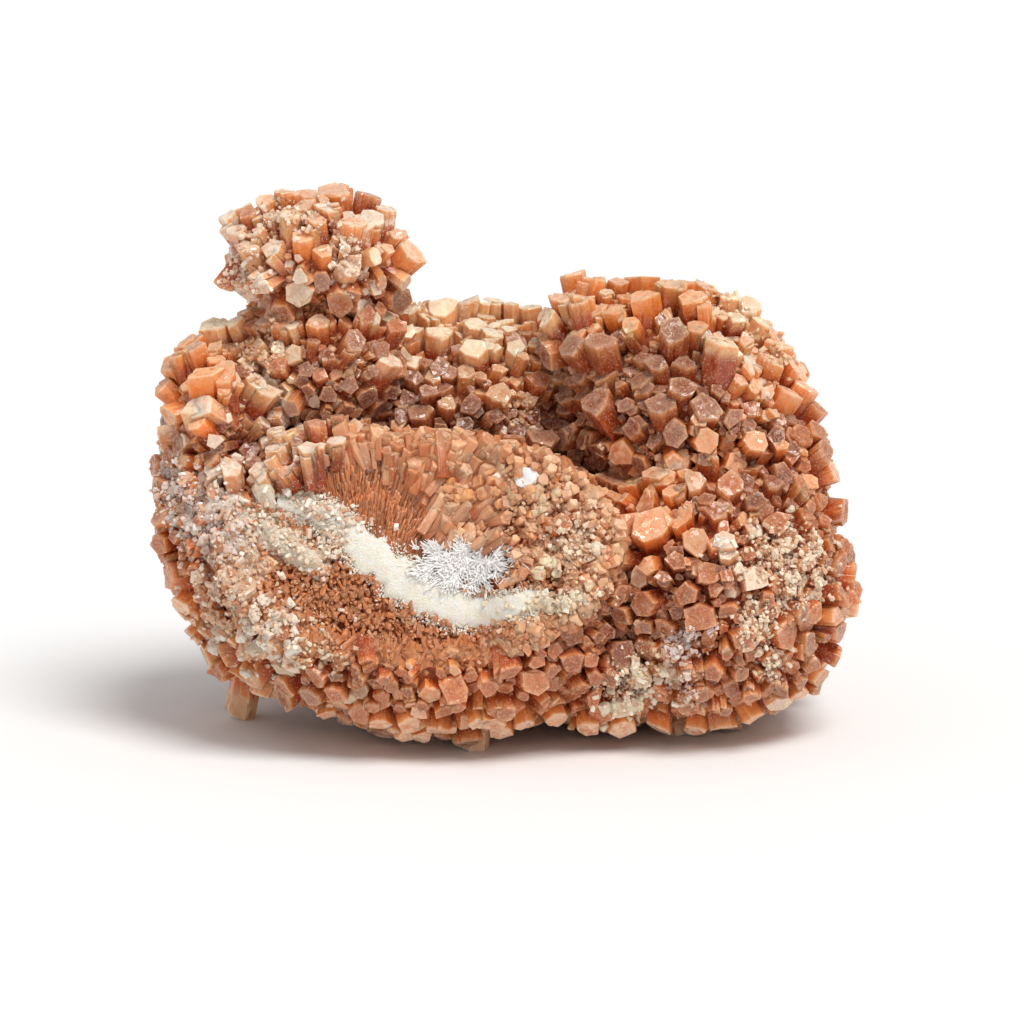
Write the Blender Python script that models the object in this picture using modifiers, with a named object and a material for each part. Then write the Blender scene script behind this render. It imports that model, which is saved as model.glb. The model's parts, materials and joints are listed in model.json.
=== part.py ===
"""Aragonite star cluster: one natural lump of six-sided crystals, grown together, standing on its lower tips.

The mass is a bunch of rounded lobes. Stubby pseudo-hexagonal prisms grow out of every lobe, square to its
surface, so that each lobe is a blunt star. The front lobe is broken open: its flat scar shows the pale seam
that the crystals started from, with columns fanning out from the seam to the rim.

Sizes are millimetres in the tables and functions, and become metres where a mesh is made. +Z is up, the
broken scar faces -Y, and the origin is on the resting plane, under the middle of the specimen.
"""

import math
import random
from collections import namedtuple

import bmesh
import bpy
from mathutils import Matrix, Vector

MM = 0.001

# Driving dimensions, millimetres and degrees.
CENTRE_SHIFT = Vector((0.0, -2.7, 0.0))  # brings the middle of the specimen's box over the origin
FRONT_LEAN = math.radians(12.0)  # the front is described on a plane that leans back by this angle
LUMP_VOXEL = 2.0
LUMP_SHARE = 0.048  # of the skin's facets that are kept
LUMP_RELIEF = 2.2
SCATTER_WIDTH = (6.4, 9.4)
SCATTER_PROUD = (1.4, 3.6)
LIMB_FACING = 0.35
LIMB_PROUD = 1.6  # of the scattered ones at the outline, so that they stay inside it
SCATTER_DARTS = 2600
SCATTER_SPACING = 1.2  # of the mean width of two neighbours
AXIS_JITTER = math.radians(9.0)
ROOT_DEPTH = 6.0
PRISM_TAPER = 0.93
GROWTH_SEED = 11

Lobe = namedtuple("Lobe", "centre radii")
Crystal = namedtuple("Crystal", "tip axis width proud roll squash")

# The lobes' cores, without their crystals: centre and half sizes along X, Y and Z.
LOBES = {
    "right_low": Lobe(Vector((32.6, -1.0, 24.0)), Vector((22.8, 26.0, 23.3))),
    "right_waist": Lobe(Vector((43.0, 3.0, 42.0)), Vector((9.5, 14.0, 11.0))),
    "right_high": Lobe(Vector((29.3, 8.0, 51.5)), Vector((20.0, 21.0, 17.0))),
    "right_brow": Lobe(Vector((24.0, 6.0, 63.8)), Vector((16.0, 13.0, 7.0))),
    "right_horn": Lobe(Vector((14.0, 7.0, 64.4)), Vector((6.0, 10.0, 6.5))),
    "saddle": Lobe(Vector((-8.1, 16.0, 49.5)), Vector((28.0, 20.0, 16.0))),
    "neck": Lobe(Vector((-30.5, 5.0, 60.3)), Vector((13.6, 14.0, 12.0))),
    "knob": Lobe(Vector((-30.7, 4.0, 77.9)), Vector((13.9, 12.0, 8.7))),
    "shoulder": Lobe(Vector((-46.3, -2.0, 53.2)), Vector((7.8, 13.0, 10.5))),
    "left_flank": Lobe(Vector((-44.6, 1.0, 35.0)), Vector((11.8, 20.0, 20.0))),
    "left_foot": Lobe(Vector((-37.0, -2.0, 19.2)), Vector((11.5, 17.0, 12.0))),
    "crest": Lobe(Vector((-27.5, -10.0, 39.0)), Vector((16.0, 17.0, 12.5))),
    "ledge": Lobe(Vector((-11.0, -9.0, 25.0)), Vector((34.0, 25.0, 24.0))),
    "belly": Lobe(Vector((16.0, -6.0, 14.0)), Vector((12.0, 18.0, 12.6))),
    "back": Lobe(Vector((0.0, 17.0, 33.0)), Vector((40.0, 21.0, 28.5))),
}

# The scar: an oval of the front lobe that is broken away down to a plane leaning back.
SCAR_CENTRE = Vector((-14.0, -23.0, 33.5))
SCAR_TILT = math.radians(20.0)
SCAR_HALF = Vector((31.0, 18.5))
SCAR_CUT_DEPTH = 30.0
SCAR_HUB = Vector((-3.0, -6.5))  # the point of the seam that the columns fan out from
SCAR_COLUMNS = 38
SCAR_RINGS = (0.2, 0.45, 0.72, 1.0)
SCAR_FLUTE = 0.9
RIM_CRYSTALS = 12  # in section along the top of the scar
RIM_WIDTH = (3.6, 4.8)
RIM_PROUD = 2.6
RIM_DEPTH = -1.7
SEAM_LINE = ((-25.0, 8.3), (-14.5, 3.6), (-10.0, -3.0), (0.8, -9.6), (10.8, -12.4), (23.5, -8.5))
SEAM_HALF = 3.1
SEAM_RISE = 1.5
SEAM_STEPS = 11

# Crystals seen on the specimen, each growing square to its lobe. Their tips are given across and up on the
# leaning front plane. First those round the outline, clockwise from the knob: across, up, width.
OUTLINE_CRYSTALS = (
    (-45.6, 71.6, 4.4), (-43.8, 80.8, 4.0), (-39.3, 85.8, 4.4), (-35.4, 87.1, 4.4), (-27.9, 87.4, 6.4),
    (-22.2, 86.7, 4.8), (-19.4, 84.5, 4.0), (-14.9, 77.1, 5.2), (-16.2, 72.0, 3.6), (-16.8, 69.0, 4.6),
    (-10.4, 68.7, 5.8), (-5.9, 70.0, 4.4), (-2.1, 70.1, 4.0), (1.0, 69.4, 3.8), (6.8, 66.6, 4.0),
    (9.2, 70.0, 4.2), (11.2, 74.2, 4.4), (14.8, 73.0, 4.2), (18.8, 72.6, 4.0), (22.6, 73.2, 6.2), (29.6, 72.4, 4.8),
    (33.2, 72.0, 4.6), (36.8, 70.2, 4.2), (40.2, 68.6, 5.0), (42.4, 65.8, 4.4), (45.2, 62.4, 5.0),
    (47.4, 59.0, 4.2), (49.6, 55.4, 5.0), (51.4, 52.0, 4.4), (51.6, 48.2, 4.6), (52.8, 44.8, 4.8),
    (54.4, 41.2, 4.2), (55.8, 35.0, 4.4), (56.0, 29.0, 3.8), (57.6, 24.2, 4.6), (56.6, 19.0, 4.2),
    (55.0, 14.8, 4.4), (54.6, 11.2, 4.2), (51.8, 7.4, 5.0), (48.2, 4.6, 4.4), (44.8, 3.2, 4.4),
    (40.8, 0.9, 5.0), (35.8, -0.7, 4.2), (30.8, -1.2, 4.6), (25.0, -0.8, 4.6), (19.2, -0.8, 5.0),
    (13.4, -0.8, 4.6), (8.4, 0.8, 4.2), (3.4, 0.0, 4.6), (-0.8, -1.2, 4.6), (-5.8, -2.9, 5.6),
    (-10.8, -0.8, 4.6), (-15.0, 0.0, 4.6), (-20.0, 0.1, 4.2), (-23.4, 1.8, 5.0), (-27.5, 5.0, 4.2),
    (-31.7, 4.6, 4.2), (-36.2, 4.2, 5.0), (-40.2, 4.8, 4.2), (-47.4, 8.6, 4.6), (-49.2, 10.8, 4.6), (-51.6, 14.2, 4.2),
    (-53.0, 19.2, 4.6), (-55.0, 24.2, 4.6), (-56.6, 29.2, 4.2), (-56.6, 34.2, 4.6), (-57.4, 38.4, 4.2),
    (-57.8, 42.6, 4.6), (-56.6, 46.8, 4.6), (-54.8, 50.2, 4.2), (-56.2, 55.4, 4.2), (-54.6, 59.2, 5.0),
    (-52.4, 62.8, 5.2), (-47.6, 65.6, 6.0), (-44.4, 66.0, 4.0),
)
OUTLINE_PROUD = 3.4

# Then those that face the front: across, up, width, height above the lobe.
FRONT_CRYSTALS = (
    (22.8, 70.2, 5.8, 4.0), (30.4, 69.8, 5.6, 3.8), (12.4, 70.0, 4.6, 3.4), (35.0, 62.7, 6.4, 4.6),
    (27.4, 64.2, 5.0, 3.4), (10.6, 61.9, 6.0, 3.6), (15.6, 62.7, 5.8, 3.6), (6.5, 60.3, 5.2, 3.2),
    (43.6, 60.0, 5.4, 3.0), (46.5, 54.6, 5.4, 2.8), (49.0, 47.4, 4.8, 2.6), (14.7, 52.9, 6.0, 4.4),
    (24.8, 59.0, 4.2, 2.6), (29.0, 55.0, 4.8, 2.6), (25.2, 52.1, 6.2, 3.0), (33.0, 51.8, 5.6, 3.2),
    (27.4, 47.3, 5.0, 2.6), (40.7, 46.4, 5.0, 3.6), (18.7, 44.0, 4.8, 2.8), (9.4, 40.7, 7.0, 4.6),
    (3.3, 39.4, 4.6, 3.6), (-0.8, 54.5, 5.4, 3.4), (1.1, 47.2, 4.8, 3.0), (-13.8, 51.3, 4.4, 3.0),
    (-9.6, 52.4, 3.8, 2.6), (-4.0, 46.4, 4.6, 2.8), (6.5, 47.2, 5.6, 3.2), (-6.5, 57.8, 4.4, 2.8),
    (-10.6, 64.3, 5.8, 3.4), (-4.9, 66.0, 4.4, 3.0), (-48.9, 57.4, 6.4, 3.8), (-49.7, 52.0, 6.4, 3.6),
    (-47.1, 42.0, 4.6, 3.0), (-35.0, 83.2, 5.2, 3.4), (-24.8, 82.0, 5.4, 3.4), (-33.0, 79.6, 4.4, 2.8),
    (-41.9, 78.0, 4.2, 2.8), (-24.9, 74.6, 4.4, 2.8), (-42.2, 70.2, 4.8, 3.0), (-33.4, 70.0, 4.6, 2.8),
    (-24.4, 62.7, 5.0, 3.0), (-26.9, 68.4, 5.6, 3.0), (-38.6, 54.6, 5.0, 3.0), (-18.6, 59.6, 5.2, 2.8),
    (-38.0, 12.5, 5.0, 3.0), (-8.0, 6.0, 5.4, 3.0), (5.0, 7.4, 5.2, 3.2), (19.1, 11.7, 5.8, 3.6),
    (31.3, 17.6, 5.8, 3.6), (30.9, 30.1, 5.4, 3.4), (13.0, 33.4, 6.0, 3.8), (23.6, 32.6, 7.2, 4.2),
    (18.7, 28.4, 4.8, 3.0), (36.6, 39.1, 5.8, 3.6), (30.8, 39.9, 5.2, 3.6), (46.0, 14.5, 5.6, 3.2),
    (40.5, 24.0, 5.2, 3.0), (44.0, 33.0, 5.2, 3.0), (22.0, 20.0, 5.2, 3.2), (-46.0, 26.0, 5.2, 2.8),
)

# The crystals that carry the specimen: where each meets the resting plane, and its width.
FEET = (
    (-44.6, 2.0, 5.6), (-22.0, -2.0, 6.0), (-5.8, -18.5, 6.0), (29.0, -9.0, 6.0), (41.0, 9.0, 6.2),
    (20.0, 24.0, 6.2), (-2.0, 26.0, 6.2), (-26.0, 22.0, 6.2),
)
FOOT_LEAN = 0.004  # outward lean for each millimetre from the middle
FOOT_REACH = 14.0
BASE_SLAB = 20.0


def core_distance(lobe, point):
    """(about how far the point is outside the lobe's core, the core's outward normal there)."""
    offset = point - lobe.centre
    scaled = Vector(offset[i] / lobe.radii[i] for i in range(3))
    slope = Vector(offset[i] / lobe.radii[i] ** 2 for i in range(3))
    level = scaled.length
    return level * (level - 1.0) / max(slope.length, 1e-6), slope.normalized()


def nearest_core(point):
    """(distance, normal) of the lobe whose core is nearest to the point."""
    return min((core_distance(lobe, point) for lobe in LOBES.values()), key=lambda found: found[0])


def scar_axes():
    """(across, up, out) of the scar's plane."""
    out = Vector((0.0, -math.cos(SCAR_TILT), math.sin(SCAR_TILT)))
    across = Vector((1.0, 0.0, 0.0))
    return across, out.cross(across), out


def in_scar(point, margin):
    """True where the point is in the piece that broke away, or within margin of it."""
    across, up, out = scar_axes()
    offset = point - SCAR_CENTRE
    if offset.dot(out) < -margin:
        return False
    a = offset.dot(across) / (SCAR_HALF.x + margin)
    b = offset.dot(up) / (SCAR_HALF.y + margin)
    return a * a + b * b < 1.0


def front_planes():
    """(up, inward) of the leaning front plane."""
    up = Vector((0.0, math.sin(FRONT_LEAN), math.cos(FRONT_LEAN)))
    return up, Vector((0.0, math.cos(FRONT_LEAN), -math.sin(FRONT_LEAN)))


def front_tip(across, up, proud):
    """The point that stands proud of the cores by that much, seen at (across, up) on the leaning front plane."""
    lean_up, inward = front_planes()
    start = Vector((across, 0.0, 0.0)) + lean_up * up - inward * 60.0
    steps = [start + inward * (0.5 * i) for i in range(240)]
    for point in steps:
        if nearest_core(point)[0] <= proud:
            return point
    return min(steps, key=lambda point: nearest_core(point)[0])


def tilted(axis, draw):
    """The axis, leaned a little in a random direction."""
    swing = Vector((draw.gauss(0, 1), draw.gauss(0, 1), draw.gauss(0, 1)))
    return (axis + swing * math.tan(AXIS_JITTER) * 0.6).normalized()


def seen_crystals(draw):
    """The crystals placed one by one, those round the outline and those that face the front."""
    rows = [(*row, OUTLINE_PROUD) for row in OUTLINE_CRYSTALS] + list(FRONT_CRYSTALS)
    made = []
    for across, up, width, proud in rows:
        tip = front_tip(across, up, proud)
        axis = tilted(nearest_core(tip)[1], draw)
        made.append(Crystal(tip, axis, width, proud, draw.uniform(0, math.tau), draw.uniform(0.82, 1.0)))
    return made


def foot_crystals(draw):
    made = []
    for x, y, width in FEET:
        tip = Vector((x, y, -1.0))
        axis = Vector((x * FOOT_LEAN, y * FOOT_LEAN, -1.0)).normalized()
        made.append(Crystal(tip, axis, width, FOOT_REACH, draw.uniform(0, math.tau), draw.uniform(0.85, 1.0)))
    return made


def rim_crystals(draw):
    """The crystals that the scar shows in section: they lie in its plane and end in the rim."""
    made = []
    for i in range(RIM_CRYSTALS):
        turn = math.radians(18 + 144 * i / (RIM_CRYSTALS - 1))
        way = Vector((math.cos(turn) * SCAR_HALF.x, math.sin(turn) * SCAR_HALF.y - SCAR_HUB.y)).normalized()
        reach = 8.0
        while reach < 40.0 and nearest_core(on_scar(SCAR_HUB + way * reach, RIM_DEPTH))[0] < RIM_PROUD:
            reach += 0.4
        reach = min(reach, 31.0) + draw.uniform(-0.6, 0.6)
        tip = on_scar(SCAR_HUB + way * reach, RIM_DEPTH)
        axis = (tip - on_scar(SCAR_HUB, RIM_DEPTH)).normalized()
        made.append(Crystal(tip, axis, draw.uniform(*RIM_WIDTH), 5.0, draw.uniform(0, math.tau), 0.9))
    return made


def scattered_crystals(draw, grown, darts, width_range, proud_range, spacing):
    """Crystals on whatever core surface is still free, the largest lobes getting the most."""
    lobes = list(LOBES.values())
    weights = [lobe.radii.x * lobe.radii.y + lobe.radii.y * lobe.radii.z for lobe in lobes]
    made = []
    for _ in range(darts):
        lobe = draw.choices(lobes, weights)[0]
        spin = Vector((draw.gauss(0, 1), draw.gauss(0, 1), draw.gauss(0, 1))).normalized()
        width = draw.uniform(*width_range)
        proud = draw.uniform(*proud_range)
        roll = draw.uniform(0, math.tau)
        squash = draw.uniform(0.8, 1.0)
        root = lobe.centre + Vector(spin[i] * lobe.radii[i] for i in range(3))
        axis = tilted(core_distance(lobe, root)[1], draw)
        if abs(axis.dot(front_planes()[1])) < LIMB_FACING:
            proud = LIMB_PROUD
        tip = root + axis * proud
        if min(core_distance(other, tip)[0] for other in lobes) < proud * 0.55:
            continue
        if tip.z < (2.0 if tip.y > 8.0 else 6.0) or in_scar(tip, 2.0):
            continue
        if all((tip - other.tip).length > spacing * (width + other.width) / 2 for other in grown + made):
            made.append(Crystal(tip, axis, width, proud, roll, squash))
    return made


def new_object(name, mesh_maker, collection):
    mesh = bpy.data.meshes.new(name)
    bm = bmesh.new()
    mesh_maker(bm)
    bmesh.ops.recalc_face_normals(bm, faces=bm.faces)
    bm.to_mesh(mesh)
    bm.free()
    obj = bpy.data.objects.new(name, mesh)
    collection.objects.link(obj)
    return obj


def frame_along(axis, roll):
    """A rotation whose Z is the axis, turned about it by roll."""
    return axis.to_track_quat("Z", "Y").to_matrix().to_4x4() @ Matrix.Rotation(roll, 4, "Z")


def prism(bm, tip, axis, width, length, roll, squash, root_width=None):
    """A six-sided prism that ends in a flat cap at tip, in millimetres, made in metres."""
    middle = tip - axis * (length / 2) + CENTRE_SHIFT
    place = Matrix.Translation(middle * MM) @ frame_along(axis, roll) @ Matrix.Diagonal((1.0, squash, 1.0, 1.0))
    bmesh.ops.create_cone(
        bm,
        cap_ends=True,
        segments=6,
        radius1=(root_width or width * PRISM_TAPER) / 2 * MM,
        radius2=width / 2 * MM,
        depth=length * MM,
        matrix=place,
    )


def crystal_object(index, crystal, collection):
    length = crystal.proud + ROOT_DEPTH

    def grow(bm):
        prism(bm, crystal.tip, crystal.axis, crystal.width, length, crystal.roll, crystal.squash)

    return new_object(f"crystal_{index:03d}", grow, collection)


def core_mass(collection):
    """All the lobes' cores in one lumpy skin, with the scar cut into it."""

    def lobes(bm):
        for lobe in LOBES.values():
            size = Matrix.Diagonal((*(lobe.radii * MM), 1.0))
            place = Matrix.Translation((lobe.centre + CENTRE_SHIFT) * MM)
            bmesh.ops.create_icosphere(bm, subdivisions=3, radius=1.0, matrix=place @ size)

    mass = new_object("aragonite_cluster", lobes, collection)
    skin = mass.modifiers.new("one skin", "REMESH")
    skin.mode = "VOXEL"
    skin.voxel_size = LUMP_VOXEL * MM
    facets = mass.modifiers.new("broad facets", "DECIMATE")
    facets.ratio = LUMP_SHARE
    facets.use_collapse_triangulate = True
    noise = bpy.data.textures.new("lumps", "CLOUDS")
    noise.noise_scale = 0.006
    lumps = mass.modifiers.new("lumps", "DISPLACE")
    lumps.texture = noise
    lumps.texture_coords = "GLOBAL"
    lumps.strength = LUMP_RELIEF * MM
    lumps.mid_level = 0.5
    return mass


def seam_point(share):
    """A point of the seam in the scar's plane, share going from 0 at its left end to 1 at its right."""
    at = share * (len(SEAM_LINE) - 1)
    i = min(int(at), len(SEAM_LINE) - 2)
    return Vector(SEAM_LINE[i]).lerp(Vector(SEAM_LINE[i + 1]), at - i)


def on_scar(flat, height):
    across, up, out = scar_axes()
    return SCAR_CENTRE + across * flat.x + up * flat.y + out * height


def scar_cutter(collection, draw):
    """The piece that broke away: its underside is the scar, fluted by the broken columns."""
    turns = [math.tau * i / SCAR_COLUMNS for i in range(SCAR_COLUMNS)]
    rim = [Vector((SCAR_HALF.x * math.cos(turn), SCAR_HALF.y * math.sin(turn))) for turn in turns]
    rim = [point * draw.uniform(0.96, 1.04) for point in rim]

    def vertex(bm, flat, height):
        return bm.verts.new((on_scar(flat, height) + CENTRE_SHIFT) * MM)

    def piece(bm):
        hub = vertex(bm, SCAR_HUB, 0.0)
        loops = []
        for reach in SCAR_RINGS:
            loop = []
            for i, end in enumerate(rim):
                flat = SCAR_HUB.lerp(end, reach)
                flute = SCAR_FLUTE * (1 if i % 2 else -1) * reach * draw.uniform(0.6, 1.2)
                loop.append(vertex(bm, flat, flute))
            loops.append(loop)
        loops.append([vertex(bm, end * 1.02, SCAR_CUT_DEPTH) for end in rim])
        for i in range(SCAR_COLUMNS):
            j = (i + 1) % SCAR_COLUMNS
            bm.faces.new((hub, loops[0][i], loops[0][j]))
            for inner, outer in zip(loops, loops[1:]):
                bm.faces.new((inner[i], inner[j], outer[j], outer[i]))
        bm.faces.new(loops[-1])
        bmesh.ops.triangulate(bm, faces=bm.faces)

    return new_object("scar_cutter", piece, collection)


def seam(collection, draw):
    """The pale seam, a low rounded ridge along the scar, thickest in the middle."""
    _, _, out = scar_axes()

    def ridge(bm):
        loops = []
        for i in range(SEAM_STEPS):
            share = i / (SEAM_STEPS - 1)
            here = seam_point(share)
            slope = seam_point(min(share + 0.04, 1.0)) - seam_point(max(share - 0.04, 0.0))
            side = Vector((-slope.y, slope.x)).normalized()
            half = (0.7 + SEAM_HALF * math.sin(math.pi * share) ** 0.8) * draw.uniform(0.85, 1.15)
            rise = SEAM_RISE * (0.4 + 0.6 * math.sin(math.pi * share)) * draw.uniform(0.8, 1.2)
            section = ((-1.0, -2.5), (-0.95, 0.0), (-0.45, 1.0), (0.45, 1.0), (0.95, 0.0), (1.0, -2.5))
            spots = [on_scar(here + side * half * across, rise * up) for across, up in section]
            loops.append([bm.verts.new((spot + CENTRE_SHIFT) * MM) for spot in spots])
        for near, far in zip(loops, loops[1:]):
            for i in range(6):
                bm.faces.new((near[i], far[i], far[i - 5], near[i - 5]))
        bm.faces.new(loops[0])
        bm.faces.new(reversed(loops[-1]))
        bmesh.ops.triangulate(bm, faces=bm.faces)

    return new_object("seam", ridge, collection)


def base_cutter(collection):
    def slab(bm):
        place = Matrix.Translation((0.0, 0.0, -BASE_SLAB / 2 * MM))
        bmesh.ops.create_cube(bm, size=1.0, matrix=place @ Matrix.Diagonal((0.3, 0.3, BASE_SLAB * MM, 1.0)))

    return new_object("base_cutter", slab, collection)


def boolean(obj, operation, name, cutter=None, collection=None):
    step = obj.modifiers.new(name, "BOOLEAN")
    step.operation = operation
    step.solver = "EXACT"
    if collection:
        step.operand_type = "COLLECTION"
        step.collection = collection
    else:
        step.object = cutter


def aragonite():
    material = bpy.data.materials.new("aragonite")
    material.use_nodes = True
    shader = material.node_tree.nodes["Principled BSDF"]
    shader.inputs["Base Color"].default_value = (0.45, 0.17, 0.07, 1.0)
    shader.inputs["Roughness"].default_value = 0.42
    return material


def main():
    for obj in list(bpy.data.objects):
        bpy.data.objects.remove(obj, do_unlink=True)
    scene = bpy.context.scene
    specimen = bpy.data.collections.new("aragonite star cluster")
    growth = bpy.data.collections.new("growth")
    cutters = bpy.data.collections.new("cutters")
    for collection in (specimen, growth, cutters):
        scene.collection.children.link(collection)
    draw = random.Random(GROWTH_SEED)
    crystals = seen_crystals(draw) + foot_crystals(draw) + rim_crystals(draw)
    crystals += scattered_crystals(draw, crystals, SCATTER_DARTS, SCATTER_WIDTH, SCATTER_PROUD, SCATTER_SPACING)
    mass = core_mass(specimen)
    for index, crystal in enumerate(crystals):
        crystal_object(index, crystal, growth)
    seam(growth, draw)
    boolean(mass, "DIFFERENCE", "broken scar", cutter=scar_cutter(cutters, draw))
    boolean(mass, "UNION", "crystals", collection=growth)
    boolean(mass, "DIFFERENCE", "resting plane", cutter=base_cutter(cutters))
    mass.data.materials.append(aragonite())
    for collection in (growth, cutters):
        for obj in collection.objects:
            obj.hide_render = True
            obj.display_type = "WIRE"
    print(f"{len(crystals)} crystals")


main()
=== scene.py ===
# %% [markdown]
# # An aragonite star cluster
#
# This mineral grows as stubby prisms that look six-sided, because three crystals are twinned into each one.
# Hundreds of them stand square to a rounded lobe, so the lobe is a blunt star, and several lobes have grown
# together here. The front lobe is broken, which shows its pale seam and the columns that fan out from it.
#
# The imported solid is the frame: it carries the lobes, the largest crystals and the scar. This script dresses
# it with the real density of crystals. Geometry Nodes set out everything that repeats, from the same lobes.

# %% Load the frame
import itertools
import json
import math
import random

import bmesh
import bpy
import numpy as np
from mathutils import Matrix, Vector, noise
from mathutils.bvhtree import BVHTree

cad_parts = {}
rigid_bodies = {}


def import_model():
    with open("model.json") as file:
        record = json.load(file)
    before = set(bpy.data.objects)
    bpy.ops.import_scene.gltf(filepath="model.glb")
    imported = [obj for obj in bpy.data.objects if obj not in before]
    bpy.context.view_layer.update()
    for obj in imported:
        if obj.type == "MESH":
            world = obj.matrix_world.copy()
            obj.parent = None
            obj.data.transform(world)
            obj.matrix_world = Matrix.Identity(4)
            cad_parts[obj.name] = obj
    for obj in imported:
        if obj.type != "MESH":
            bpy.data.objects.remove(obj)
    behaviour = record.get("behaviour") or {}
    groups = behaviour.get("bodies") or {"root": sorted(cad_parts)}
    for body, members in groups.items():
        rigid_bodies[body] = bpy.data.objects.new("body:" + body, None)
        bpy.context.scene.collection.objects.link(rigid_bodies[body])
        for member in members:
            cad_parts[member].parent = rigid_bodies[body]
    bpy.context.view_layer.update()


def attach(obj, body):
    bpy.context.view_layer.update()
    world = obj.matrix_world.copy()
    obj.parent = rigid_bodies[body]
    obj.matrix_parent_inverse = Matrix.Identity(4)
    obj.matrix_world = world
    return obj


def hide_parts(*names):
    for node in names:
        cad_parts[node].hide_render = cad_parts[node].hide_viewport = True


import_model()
CLUSTER = "aragonite_cluster"
MM = 0.001

# %% [markdown]
# ## Named sizes
#
# The values below are those of the solid, in millimetres: where each lobe lies, where the scar was broken, and
# where single crystals stand. A tip is given across and up on a plane that leans back with the camera, since
# that is how the specimen is seen. Everything else is worked out from these.

# %% Lobes and scar
FRONT_LEAN = math.radians(12.0)
CENTRE_SHIFT = np.array([0.0, -2.7, 0.0])
ACROSS = np.array([1.0, 0.0, 0.0])
LOBES = (  # centre, then half sizes
    ((32.6, -1.0, 24.0), (22.8, 26.0, 23.3)),
    ((43.0, 3.0, 42.0), (9.5, 14.0, 11.0)),
    ((29.3, 8.0, 51.5), (20.0, 21.0, 17.0)),
    ((24.0, 6.0, 63.8), (16.0, 13.0, 7.0)),
    ((14.0, 7.0, 64.4), (6.0, 10.0, 6.5)),
    ((-8.1, 16.0, 49.5), (28.0, 20.0, 16.0)),
    ((-30.5, 5.0, 60.3), (13.6, 14.0, 12.0)),
    ((-30.7, 4.0, 77.9), (13.9, 12.0, 8.7)),
    ((-46.3, -2.0, 53.2), (7.8, 13.0, 10.5)),
    ((-44.6, 1.0, 35.0), (11.8, 20.0, 20.0)),
    ((-37.0, -2.0, 19.2), (11.5, 17.0, 12.0)),
    ((-27.5, -10.0, 39.0), (16.0, 17.0, 12.5)),
    ((-11.0, -9.0, 25.0), (34.0, 25.0, 24.0)),
    ((16.0, -6.0, 14.0), (12.0, 18.0, 12.6)),
    ((0.0, 17.0, 33.0), (40.0, 21.0, 28.5)),
)
SCAR_CENTRE = np.array([-14.0, -23.0, 33.5])
SCAR_TILT = math.radians(20.0)
SCAR_HALF = np.array([31.0, 18.5])

# %% Single crystals, read off the specimen
OUTLINE_CRYSTALS = (  # across, up, width
    (-45.6, 71.6, 4.4), (-43.8, 80.8, 4.0), (-39.3, 85.8, 4.4), (-35.4, 87.1, 4.4), (-27.9, 87.4, 6.4),
    (-22.2, 86.7, 4.8), (-19.4, 84.5, 4.0), (-14.9, 77.1, 5.2), (-16.2, 72.0, 3.6), (-16.8, 69.0, 4.6),
    (-10.4, 68.7, 5.8), (-5.9, 70.0, 4.4), (-2.1, 70.1, 4.0), (1.0, 69.4, 3.8), (6.8, 66.6, 4.0),
    (9.2, 70.0, 4.2), (11.2, 74.2, 4.4), (14.8, 73.0, 4.2), (18.8, 72.6, 4.0), (22.6, 73.2, 6.2),
    (29.6, 72.4, 4.8), (33.2, 72.0, 4.6), (36.8, 70.2, 4.2), (40.2, 68.6, 5.0), (42.4, 65.8, 4.4),
    (45.2, 62.4, 5.0), (47.4, 59.0, 4.2), (49.6, 55.4, 5.0), (51.4, 52.0, 4.4), (51.6, 48.2, 4.6),
    (52.8, 44.8, 4.8), (54.4, 41.2, 4.2), (55.8, 35.0, 4.4), (56.0, 29.0, 3.8), (57.6, 24.2, 4.6),
    (56.6, 19.0, 4.2), (55.0, 14.8, 4.4), (54.6, 11.2, 4.2), (51.8, 7.4, 5.0), (48.2, 4.6, 4.4),
    (44.8, 3.2, 4.4), (40.8, 0.9, 5.0), (35.8, -0.7, 4.2), (30.8, -1.2, 4.6), (25.0, -0.8, 4.6),
    (19.2, -0.8, 5.0), (13.4, -0.8, 4.6), (8.4, 0.8, 4.2), (3.4, 0.0, 4.6), (-0.8, -1.2, 4.6),
    (-5.8, -2.9, 5.6), (-10.8, -0.8, 4.6), (-15.0, 0.0, 4.6), (-20.0, 0.1, 4.2), (-23.4, 1.8, 5.0),
    (-27.5, 5.0, 4.2), (-31.7, 4.6, 4.2), (-36.2, 4.2, 5.0), (-40.2, 4.8, 4.2), (-47.4, 8.6, 4.6),
    (-49.2, 10.8, 4.6), (-51.6, 14.2, 4.2), (-53.0, 19.2, 4.6), (-55.0, 24.2, 4.6), (-56.6, 29.2, 4.2),
    (-56.6, 34.2, 4.6), (-57.4, 38.4, 4.2), (-57.8, 42.6, 4.6), (-56.6, 46.8, 4.6), (-54.8, 50.2, 4.2),
    (-56.2, 55.4, 4.2), (-54.6, 59.2, 5.0), (-52.4, 62.8, 5.2), (-47.6, 65.6, 6.0), (-44.4, 66.0, 4.0),
)
OUTLINE_PROUD = 3.4
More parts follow.
